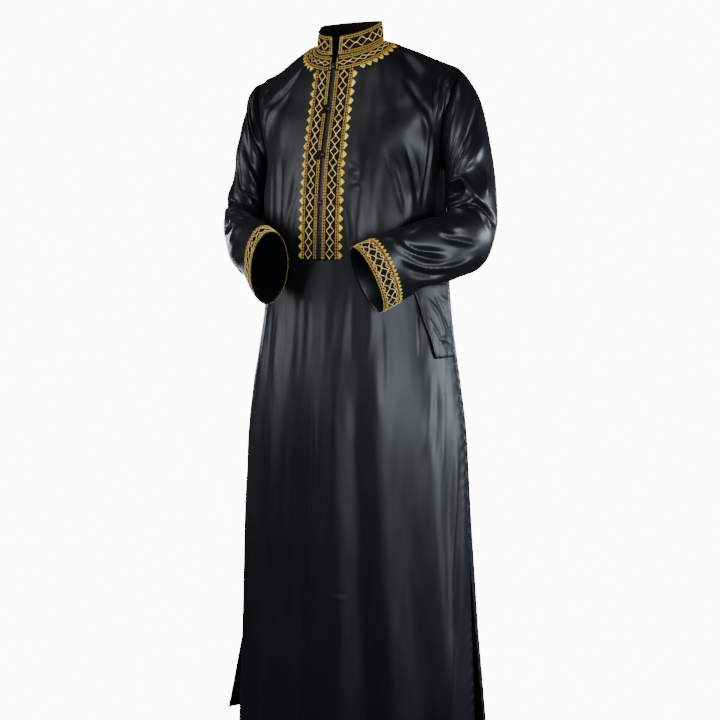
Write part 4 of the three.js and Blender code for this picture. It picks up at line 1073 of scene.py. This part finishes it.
def tube(path, radius, sides, closed=False):
    """A tube along flat points (s, t, lift), as points and quads."""
    path = np.asarray(path, float)
    if closed:
        ahead = unit(np.roll(path, -1, axis=0) - np.roll(path, 1, axis=0))
    else:
        ahead = unit(np.gradient(path, axis=0))
    sideways = unit(np.cross(ahead, [0.0, 0.0, 1.0]))
    up = np.cross(sideways, ahead)
    turns = np.arange(sides) * 2 * np.pi / sides
    ring = np.cos(turns)[None, :, None] * sideways[:, None] + np.sin(turns)[None, :, None] * up[:, None]
    points = (path[:, None] + ring * radius).reshape(-1, 3)
    faces = grid_faces(len(path) + closed, sides, closed=True) % len(points)
    return points, np.roll(faces[:, ::-1], 1, axis=1)


CHAIN_PITCH = 5.7
CHAIN_WIDE = 2.0
CHAIN_THREAD = 0.42
CORD = 0.74  # radius of a lozenge's cord
WAVE_CORD = 0.7  # and of the finer one beside it
KNOT_SHARE = 0.12  # share of a lozenge's length where the two cords run together
BUTTON_ROOM = 9  # the inner rows stop this far from a button's loop
LOZENGE_PITCH = 22.4
GROUND_LIFT = 1.5  # the bands' faces above the cloth
# The toothed edges: lift, height and pitch.
PLACKET_TEETH = (0.6, 7.6, 18.2)
NECK_TEETH = (0.7, 7.6, 14)
CUFF_TEETH = (0.6, 5.5, 8.6)


def chain_link():
    """One loop of chain stitch, a drop lying along s with its narrow end forward."""
    turns = np.arange(8) * 2 * np.pi / 8
    s = CHAIN_PITCH * 0.4 * np.cos(turns)
    t = CHAIN_WIDE / 2 * np.sin(turns) * (1 - 0.35 * np.cos(turns))
    lift = CHAIN_THREAD * (1.1 + 0.5 * np.cos(turns))
    return tube(np.column_stack([s, t, lift]), CHAIN_THREAD, 4, closed=True)


def chain_lines(stitches, lines, base, across=False):
    """Rows of chain stitch, along the band or across it. A line is its fixed place and its ends."""
    points, faces = chain_link()
    if across:
        points = points[:, [1, 0, 2]] * [-1, 1, 1]
    for fixed, start, end in lines:
        run = repeats(start, end, CHAIN_PITCH)
        places = [run, np.full(len(run), fixed)]
        stitches.copies(points + [0, 0, base], faces, np.column_stack(places[::-1] if across else places))


def lozenge_cords(stitches, s1, s2, centre, half, pitch, base):
    """Two cords that cross at every pitch and leave lozenges between."""
    pitch = (s2 - s1) / max(1, round((s2 - s1) / pitch))
    s = np.arange(s1, s2, 1.5)
    order, x = np.divmod((s - s1) / pitch, 1)
    spread = (np.minimum(x, 1 - x) - KNOT_SHARE / 2) / (0.5 - KNOT_SHARE / 2)
    spread = smoothstep(spread * 0.78 + 0.06) / 0.94
    parity = 1 - 2 * (order % 2)
    for way in (1, -1):
        t = centre + way * parity * (spread * half + 0.5)
        lift = base + CORD * (1 + 0.55 * (way > 0) * (spread < 0.25))
        stitches.add(*tube(np.column_stack([s, t, lift]), CORD, 6))


def wave_cord(stitches, s1, s2, centre, swing, period, base):
    """A finer cord that swings to and fro beside the lozenges."""
    count = max(1, round((s2 - s1) / period))
    s = np.linspace(s1, s2, count * 8 + 1)
    t = centre + swing * np.sin(2 * np.pi * count * (s - s1) / (s2 - s1))
    stitches.add(*tube(np.column_stack([s, t, np.full(s.shape, base + WAVE_CORD)]), WAVE_CORD, 5))


def tooth(pitch, high, base):
    """One scalloped tooth of satin stitch, domed, its root on t = 0 and its tip at t = high."""
    p, q = np.meshgrid(np.linspace(-1, 1, 9), np.linspace(0, 1, 7))
    half = pitch / 2 * (0.8 * (1 - q**1.15) + 0.09)
    dome = np.sqrt(np.maximum(1 - p**2, 0)) * (1 - 0.45 * q**2)
    points = np.stack([p * half, q * high, base + 1.15 * dome - 0.25], -1).reshape(-1, 3)
    return points, grid_faces(7, 9)


def sew_teeth(name, strip, root, s1, s2, sizes):
    """The satin-stitch teeth along a band's outer edge."""
    lift, high, pitch = sizes
    s = repeats(s1, s2, pitch)
    points, faces = tooth((s2 - s1) / len(s), high, lift)
    teeth = Stitches()
    teeth.copies(points, faces, np.column_stack([s, np.full(len(s), root)]))
    return teeth.build(name + "_teeth", strip, GOLD_TEETH)


def ribbon(name, strip, s, profile, faces, replaced):
    """A band's own cloth: its profile, as points (t, lift), carried along the strip."""
    flat = np.array([[(x, t, h) for x in s] for t, h in profile]).reshape(-1, 3)
    obj = make_mesh(name, strip.wrap(flat), faces, GROUND, flat[:, :2])
    return finish_piece(obj, [replaced])


def ground_ribbon(name, strip, low, high, lift, thick, replaced):
    """A thin wall between two t, with its edges turned down."""
    s = np.linspace(0, strip.length, max(12, round(strip.length / 4)), endpoint=not strip.closed)
    profile = [(low, lift - thick), (low, lift - 0.3), (low + 0.8, lift)]
    profile += [(mix(low, high, k / 8), lift) for k in range(1, 8)]
    profile += [(high - 0.8, lift), (high, lift - 0.3), (high, lift - thick)]
    faces = grid_faces(len(profile), len(s), closed=strip.closed)
    return ribbon(name, strip, s, profile, faces, replaced)


def closed_ribbon(name, strip, thick, replaced):
    """A wall with two faces, joined round its whole edge."""
    s = np.linspace(0, strip.length, 110)
    turns = [(0.0, 0.0), (0.0, -0.5), (0.02, -1.0), (0.5, -1.0), (0.98, -1.0), (1.0, -0.5), (1.0, 0.0)]
    turns += [(1 - k / 8, 0.0) for k in range(1, 8)]
    profile = [(t * strip.width, h * thick) for t, h in turns]
    faces = grid_faces(len(turns) + 1, len(s)) % (len(turns) * len(s))
    return ribbon(name, strip, s, profile, faces, replaced)


def without(s1, s2, stops, room):
    """The stretches of s1 to s2 that are left when each stop takes its room."""
    edges = [s1] + [x for stop in sorted(stops) for x in (stop - room, stop + room)] + [s2]
    return [(a, b) for a, b in zip(edges[::2], edges[1::2]) if b > a]


def embroider(name, strip, wide, s1, s2, pitch, lift, ends=(), waves=False, stops=()):
    """A band's chain stitch in double rows along both edges, with lozenges between them."""
    chain = Stitches()
    inner, outer = (1.9, 6.1), (wide - 5.9, wide - 1.7)
    chain_lines(chain, [(t, a, b) for t in inner for a, b in without(s1, s2, stops, BUTTON_ROOM)], lift)
    chain_lines(chain, [(t, s1, s2) for t in outer], lift)
    chain_lines(chain, [(s, inner[0], outer[1]) for s in ends], lift, across=True)
    made = [chain.build(name + "_chain", strip, GOLD_CHAIN)]
    cords = Stitches()
    centre = (inner[1] + outer[0]) / 2
    half = (outer[0] - inner[1]) / 2 - 4.6
    lozenge_cords(cords, s1, s2, centre, half, pitch, lift)
    for way in (1, -1) if waves else ():
        wave_cord(cords, s1, s2, centre + way * (half + 1.2), 1.6, pitch / 2, lift)
    return made + [cords.build(name + "_cords", strip, GOLD_CORD)]


def front_place(rows, u, start, side):
    """Place of rows and u in the front panel's grid, whose opening's edge lies at start."""
    away = SLIT_STRIP / 2 + (u - start) / (1 - start) * (SIDE_COLUMNS - 1)
    column = np.clip((PANEL_COLUMNS - 1) / 2 + side * away, 0, PANEL_COLUMNS - 1.001)
    return np.interp(rows, ROWS, np.arange(PANEL_ROWS)), column


def on_front(rows, x, side):
    """Points and normals of the dressed front panel at rows and x, either side of the centre."""
    start = np.interp(rows, ROWS, u_at_x(ROWS, SLIT_HALF))
    place = front_place(rows, u_at_x(rows, x), start, side)
    return sample(front_grid, *place), unit(sample(front_normals, *place))


def settle(grid, wide):
    """A band is stiffer than the cloth below, so its surface is evened out along its length."""
    return blur_rows(grid.swapaxes(0, 1), 2 * wide, 6).swapaxes(0, 1)


def rows_to_slit_end(first, steps, short=0):
    """Rows from the yoke's "first" down to the end of the front opening."""
    lower = np.linspace(0, ARMPIT_Z - SLIT_LAST_Z - short, 50)
    return np.concatenate([np.linspace(first, ARMPIT_ROW, steps, endpoint=False), ARMPIT_ROW + lower])


# The two bands of the front opening.
FLAT_PLACKET = BAND_FLAT_X - SLIT_HALF
for side, name in ((1, "placket_band_left"), (-1, "placket_band_right")):
    r, x = np.meshgrid(rows_to_slit_end(1, 66), np.linspace(SLIT_HALF, BAND_TEETH_X, 14))
    points, normals = on_front(r, x, side)
    strip = Strip(settle(points, 1.2), normals)
    stops = []
    if side < 0:
        heights = strip.grid[0, :, 2]
        stops = [float(np.interp(-z, -heights, strip.s)) for z in BUTTON_HEIGHTS[1:3]]
    ground = ground_ribbon(name + "_ground", strip, 0.2, FLAT_PLACKET + 0.4, GROUND_LIFT, 1.2, name)
    reach = (1, strip.length - 1.5)
    sewn = embroider(name, strip, FLAT_PLACKET, *reach, LOZENGE_PITCH, GROUND_LIFT, stops=stops)
    sewn.append(sew_teeth(name, strip, FLAT_PLACKET + 0.2, 4, strip.length, PLACKET_TEETH))

# The neck band, from the opening's left edge round the back to its right edge.
half_left = front_grid[:, SIDE_COLUMNS + SLIT_STRIP - 1 :]
half_right = front_grid[:, :SIDE_COLUMNS]
neck_rows = np.linspace(0.05, 2, 14)


def at_neck(grid):
    """The part of a panel that the neck band covers."""
    return sample(grid, (neck_rows * YOKE_STEPS)[:, None], np.arange(grid.shape[1]))


neck_grid = np.concatenate([at_neck(half_left), at_neck(back_grid)[:, 1:-1], at_neck(half_right)], axis=1)
neck_grid = settle(neck_grid, 1.6)
neck = Strip(neck_grid, grid_normals(neck_grid))
FLAT_NECK = float(np.interp(1.0, neck_rows, neck.t))
NECK_LIFT = GROUND_LIFT + 0.15
ground = ground_ribbon("neck_band_ground", neck, 0.2, FLAT_NECK + 0.4, NECK_LIFT, 1.3, "neck_band")
neck_ends = (2.2, neck.length - 2.2)
sewn = embroider("neck_band", neck, FLAT_NECK, 6, neck.length - 6, 24, NECK_LIFT, ends=neck_ends)
sewn.append(sew_teeth("neck_band", neck, FLAT_NECK + 0.2, 50, neck.length - 50, NECK_TEETH))

# The stand collar, one embroidered strip with black piping.
COLLAR_CENTRE_Y = 9
COLLAR_END_RUN = 16  # the front ends spread over this much of the ring
ring = np.concatenate([half_left[0], back_grid[0, 1:-1], half_right[0]])
inward = unit(stack(-ring[:, 0], COLLAR_CENTRE_Y - ring[:, 1], 0 * ring[:, 0]))
run = run_along(ring)
lean_in = bell(run / COLLAR_END_RUN) - bell((run[-1] - run) / COLLAR_END_RUN)
collar_rows = []
for share in np.linspace(0, 1, 12):
    row = ring + inward * (0.6 + COLLAR_LEAN * share)
    row[:, 2] += mix(-1.2, COLLAR_HEIGHT, share)
    row[:, 0] += COLLAR_SPREAD * share * lean_in
    collar_rows.append(row)
collar_grid = settle(np.array(collar_rows), 1.5)
collar = Strip(collar_grid, np.broadcast_to(-inward, collar_grid.shape))
COLLAR_EDGES = (4.0, 8.2, 33.6, 37.8)
ground = closed_ribbon("collar_ground", collar, 2.0, "collar")
chain = Stitches()
chain_lines(chain, [(t, 2, collar.length - 2) for t in COLLAR_EDGES], 0)
uprights = [place for x in (2.6, 6.8) for place in (x, collar.length - x)]
chain_lines(chain, [(s, COLLAR_EDGES[0], COLLAR_EDGES[-1]) for s in uprights], 0, across=True)
sewn = [chain.build("collar_chain", collar, GOLD_CHAIN)]
cords = Stitches()
lozenge_cords(cords, 9, collar.length - 9, 20.9, 8.8, 26, 0)
sewn.append(cords.build("collar_cords", collar, GOLD_CORD))
PIPING_RADIUS = 1.15
edge = [(0.2, t, -1) for t in np.linspace(0.5, 39, 12)]
edge += [(x, COLLAR_HEIGHT, -1) for x in np.linspace(0.6, collar.length - 0.6, 150)]
edge += [(collar.length - 0.2, t, -1) for t in np.linspace(39, 0.5, 12)]
points, faces = tube(edge, PIPING_RADIUS, 8)
piping = make_mesh("collar_piping", collar.wrap(points), faces, PIPING)
sewn.append(finish_piece(piping, []))

# The cuffs: the plain edge is the sleeve's rim, and the teeth point up the arm.
CUFF_TEETH_TOP = 10.16
CUFF_FLAT_TOP = 10.35
for side, name, sleeve, table in (
    (1, "cuff_band_left", "sleeve_left", SLEEVE_LEFT),
    (-1, "cuff_band_right", "sleeve_right", SLEEVE_RIGHT),
):
    stations = np.linspace(LAST_STATION, CUFF_TEETH_TOP, 12)
    strip = Strip(*sleeve_rings(table, side, stations), closed=True)
    flat = float(np.interp(-CUFF_FLAT_TOP, -stations, strip.t))
    ground = ground_ribbon(name + "_ground", strip, 0.1, flat, GROUND_LIFT, 1.4, name)
    sewn = embroider(name, strip, flat, 0, strip.length, 22, GROUND_LIFT, waves=True)
    sewn.append(sew_teeth(name, strip, flat - 0.4, 0, strip.length, CUFF_TEETH))

# The underlap behind the opening, and the ball buttons with their loops.
UNDERLAP_BEHIND = 2.3
rows = rows_to_slit_end(0.3, 60, short=1)
x = np.linspace(-UNDERLAP_X, UNDERLAP_X, 13)
outside = np.maximum(np.abs(x), SLIT_HALF)[None, :]
left, left_normals = on_front(rows[:, None], outside, 1)
right, right_normals = on_front(rows[:, None], outside, -1)
on_left = (x > 0)[None, :, None]
share = np.clip((x + SLIT_HALF) / (2 * SLIT_HALF), 0, 1)[None, :, None]
in_slit = (np.abs(x) < SLIT_HALF)[None, :, None]
lap = np.where(in_slit, mix(right, left, share), np.where(on_left, left, right))
lap = lap - np.where(on_left, left_normals, right_normals) * UNDERLAP_BEHIND
lap_faces = grid_faces(len(rows), len(x))
underlap = cloth("placket_underlap", lap, lap_faces, SATIN_FRONT, STIFFER_CLOTH)


def sphere_angles(rings, around, pole):
    """Angles from the pole and round it, for a sphere open by a small angle at its poles."""
    turns = np.arange(around) * 2 * np.pi / around
    return np.meshgrid(np.linspace(pole, np.pi - pole, rings), turns, indexing="ij")


def ball(centre, radius, rings=14, around=22):
    """A knotted ball: a sphere with shallow turns of braid over it."""
    theta, phi = sphere_angles(rings, around, 0.02)
    r = radius * (1 + 0.035 * np.sin(4 * theta + 2 * phi) * np.sin(theta))
    points = stack(r * np.sin(theta) * np.cos(phi), r * np.cos(theta), r * np.sin(theta) * np.sin(phi))
    return points.reshape(-1, 3) + centre, grid_faces(rings, around, closed=True)


for k in range(len(BUTTON_HEIGHTS)):
    name = f"button_{k + 1}"
    low, high = (np.array(corner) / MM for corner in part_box(name))
    centre = (low + high) / 2
    button = make_mesh(name + "_ball", *ball(centre, BUTTON_RADIUS), BUTTON)
    finish_piece(button, [name])
    turns = np.linspace(-2.6, 2.6, 20)
    loop = np.column_stack([0.6 - 4.9 * np.cos(turns), 5.2 * np.sin(turns), 0 * turns])
    points, faces = tube(loop, 0.75, 6)
    placed = points[:, [0, 2, 1]] + centre + [0, 1.2, 0]
    finish_piece(make_mesh(f"loop_{k + 1}", placed, faces, PIPING), [])

# ------------------------------------------------------------------ pocket
POCKET_TOP, POCKET_BOTTOM = -478, -628
POCKET_BOW = 5  # how far its mouth stands open
POCKET_REACH = (5.6, 3.4)  # from the seam to its mouth, top and bottom, in twelfths of the side
POCKET_SEAM = 0.08  # and to its other edge
TWELFTHS = 12
# Its creases, as points of (distance from its mouth, height), then half width, depth and lean.
POCKET_CREASES = (
    (((20, -500), (52, -540), (70, -600)), 6, 2.8, 0),
    (((44, -490), (74, -530), (92, -580)), 6, -2.6, 0),
    (((10, -540), (34, -580), (46, -618)), 5, 2.4, 0),
    (((66, -500), (92, -520), (104, -560)), 5, 2.4, 0),
    (((24, -600), (60, -590), (92, -604)), 5, -2.2, 0),
)
z = np.linspace(POCKET_TOP, POCKET_BOTTOM, 44)[:, None]
down = (POCKET_TOP - z) / (POCKET_TOP - POCKET_BOTTOM)
pocket_rows = ARMPIT_ROW + ARMPIT_Z - z
teeth_u = u_at_x(pocket_rows, BAND_TEETH_X)
first = mix(teeth_u, 1, 1 - mix(*POCKET_REACH, down) / TWELFTHS)
last = mix(teeth_u, 1, 1 - POCKET_SEAM / TWELFTHS)
share = np.linspace(0, 1, 40)[None, :]
start = u_at_x(pocket_rows, SLIT_HALF)
index, column = front_place(pocket_rows, mix(first, last, share), start, 1)
sheet_points = sample(front_grid, index, column)
sheet_normals = unit(sample(front_normals, index, column.astype(int)))
mouth = np.sin(np.pi * np.clip(down, 0, 1)) ** 0.5
bow = 1.6 + POCKET_BOW * mouth * (1 - share) ** 2
across_mm, z = np.broadcast_arrays(share * 110, z)
wrinkle = creases(POCKET_CREASES, across_mm, z)
gathers = 0.8 * np.sin(across_mm / 3.6 + 1.5 * np.sin(across_mm / 17))
wrinkle += gathers * bell((1 - down) * 150 / 12)
edge_in = smoothstep(down / 0.05) * smoothstep((1 - down) / 0.05) * smoothstep((1 - share) / 0.05)
lift = bow + wrinkle * edge_in - 0.7 * (1 - edge_in) * (share > 0.03)
pocket_points = sheet_points + sheet_normals * lift[..., None]
pocket = cloth("pocket_left", pocket_points, grid_faces(44, 40), SATIN_POCKET_PAINTED_PALER, STIFFER_CLOTH)

# ------------------------------------------------------------------ hems and topstitching
STITCH = 4.2  # pitch of the stitching, and its thread's half thickness
STITCH_THREAD = 0.32


def stitch_row(name, points, normals):
    """Straight stitches of black thread along a line of surface points."""
    run = run_along(points)
    count = int(run[-1] / STITCH)
    middle = (np.arange(count) + 0.5) * run[-1] / count

    def along(values, place):
        return np.column_stack([np.interp(place, run, values[:, k]) for k in range(3)])

    start, end = (along(points, middle + way * STITCH * 0.36) for way in (-1, 1))
    up = unit(along(normals, middle))
    side = unit(np.cross(end - start, up))
    rings = []
    for share, low in ((0, 0.1), (0.3, 1), (0.7, 1), (1, 0.1)):
        for a, b in ((1, 0), (0, 1), (-1, 0), (0, -1)):
            rings.append(mix(start, end, share) + (side * a + up * (b + low)) * STITCH_THREAD)
    flat = np.stack(rings, axis=1).reshape(-1, 3)
    quads = grid_faces(4, 4, closed=True)
    faces = (quads[None] + 16 * np.arange(count)[:, None, None]).reshape(-1, 4)
    return finish_piece(make_mesh(name, flat, faces, PIPING), [])


def edge_rows(name, grid, normals):
    """The stitching of a panel's hem and of its two side slits."""
    hem = int(np.argmin(np.abs(ROW_Z - HEM_Z - HEM_TURN)))
    slit = int(np.argmin(np.abs(ROW_Z - SIDE_SLIT_TOP)))
    lines = {"hem_stitches": np.s_[hem, 2:-2]}
    lines.update({"slit_stitches_a": np.s_[slit:-1, 2], "slit_stitches_b": np.s_[slit:-1, -3]})
    return [stitch_row(f"{name}_{kind}", grid[line], normals[line]) for kind, line in lines.items()]


front_stitches = edge_rows("front", front_grid, front_normals)
back_stitches = edge_rows("back", back_grid, back_normals)
pocket_normals = grid_normals(pocket_points)
if (pocket_normals * sheet_normals).sum() < 0:
    pocket_normals = -pocket_normals
MOUTH_LIFT = 0.1  # the mouth's stitches, a little off the cloth
for kind, line, lift in (
    ("mouth", np.s_[1:-1, 2], MOUTH_LIFT),
    ("top", np.s_[1, 1:-1], 0),
    ("bottom", np.s_[-2, 1:-1], 0),
):
    name = f"pocket_{kind}_stitches"
    stitch_row(name, pocket_points[line] + lift, pocket_normals[line])


# ------------------------------------------------------------------ stage and lights
PAPER_WHITE = 12.0
FLOOR_Z = -1530
FLOOR_HALF = 6000
BACKDROP_RADIUS = 12000
COOL = (0.83, 0.9, 1)
WORLD_COLOR = (0.9, 0.95, 1, 1)
WORLD_STRENGTH = 0.045


def area_light(name, place, target, size, power, color=(1, 1, 1)):
    """A soft box; places and sizes are metres, and power is watts."""
    data = bpy.data.lights.new(name, "AREA")
    data.shape = "RECTANGLE"
    data.size, data.size_y = size
    data.energy = power
    data.color = color
    obj = bpy.data.objects.new(name, data)
    obj.location = place
    aim(obj, target)
    bpy.context.scene.collection.objects.link(obj)


def stage_material(name):
    """Evenly bright paper, whatever light falls on it."""
    values = {"Base Color": (0, 0, 0, 1), "Specular IOR Level": 0}
    values.update({"Emission Color": (1, 1, 1, 1), "Emission Strength": PAPER_WHITE})
    return new_material(name, values)[0]


def staged(name, points, faces, material):
    """A part of the studio: the camera sees it, and it neither lights nor mirrors in the satin."""
    obj = make_mesh(name, points, faces, material)
    obj.visible_glossy = False
    obj.visible_diffuse = False
    obj.visible_shadow = False
    return obj


corners = np.array([(-1, -1), (1, -1), (1, 1), (-1, 1)]) * FLOOR_HALF
floor_points = np.column_stack([corners, np.full(4, FLOOR_Z)])
staged("floor", floor_points, [(0, 1, 2, 3)], stage_material("pale_floor"))
theta, phi = sphere_angles(24, 48, 0.01)
dome = BACKDROP_RADIUS * stack(np.sin(theta) * np.cos(phi), np.sin(theta) * np.sin(phi), np.cos(theta))
staged("backdrop", dome.reshape(-1, 3), grid_faces(24, 48, closed=True), stage_material("white_backdrop"))
world = bpy.data.worlds.new("studio")
bpy.context.scene.world = world
world.use_nodes = True
dial(world.node_tree.nodes["Background"], {"Color": WORLD_COLOR, "Strength": WORLD_STRENGTH})
area_light("key", (1.9, -1.5, -0.46), (0, 0, -0.52), (2.7, 0.4), 86, COOL)
area_light("side_strip", (-2.4, -2.6, 0.1), (0, 0, -0.15), (2.0, 0.4), 35, COOL)
area_light("left_strip", (-2.0, -1.15, -0.4), (0, 0, -0.5), (1.1, 0.35), 11.5, COOL)
area_light("arm_strip", (-2.1, -1.3, 0.45), (-0.2, -0.1, -0.35), (0.8, 0.35), 10, COOL)
area_light("seam_strip", (2.6, 0.45, -1.05), (0.2, 0, -1.05), (0.8, 0.5), 9.5, COOL)
area_light("chest_fill", (-1.5, -2.7, 0.75), (0, 0, -0.05), (2.0, 0.8), 32)
area_light("overhead", (-0.5, -1.9, 2.3), (0, 0, -0.2), (1.6, 1.2), 27)
area_light("far_strip", (3.0, 2.2, -0.6), (0, 0, -0.7), (2.0, 0.6), 97, COOL)
area_light("back_fill", (-1.6, 3.2, -0.5), (0, 0, -0.7), (3.4, 0.8), 130, COOL)
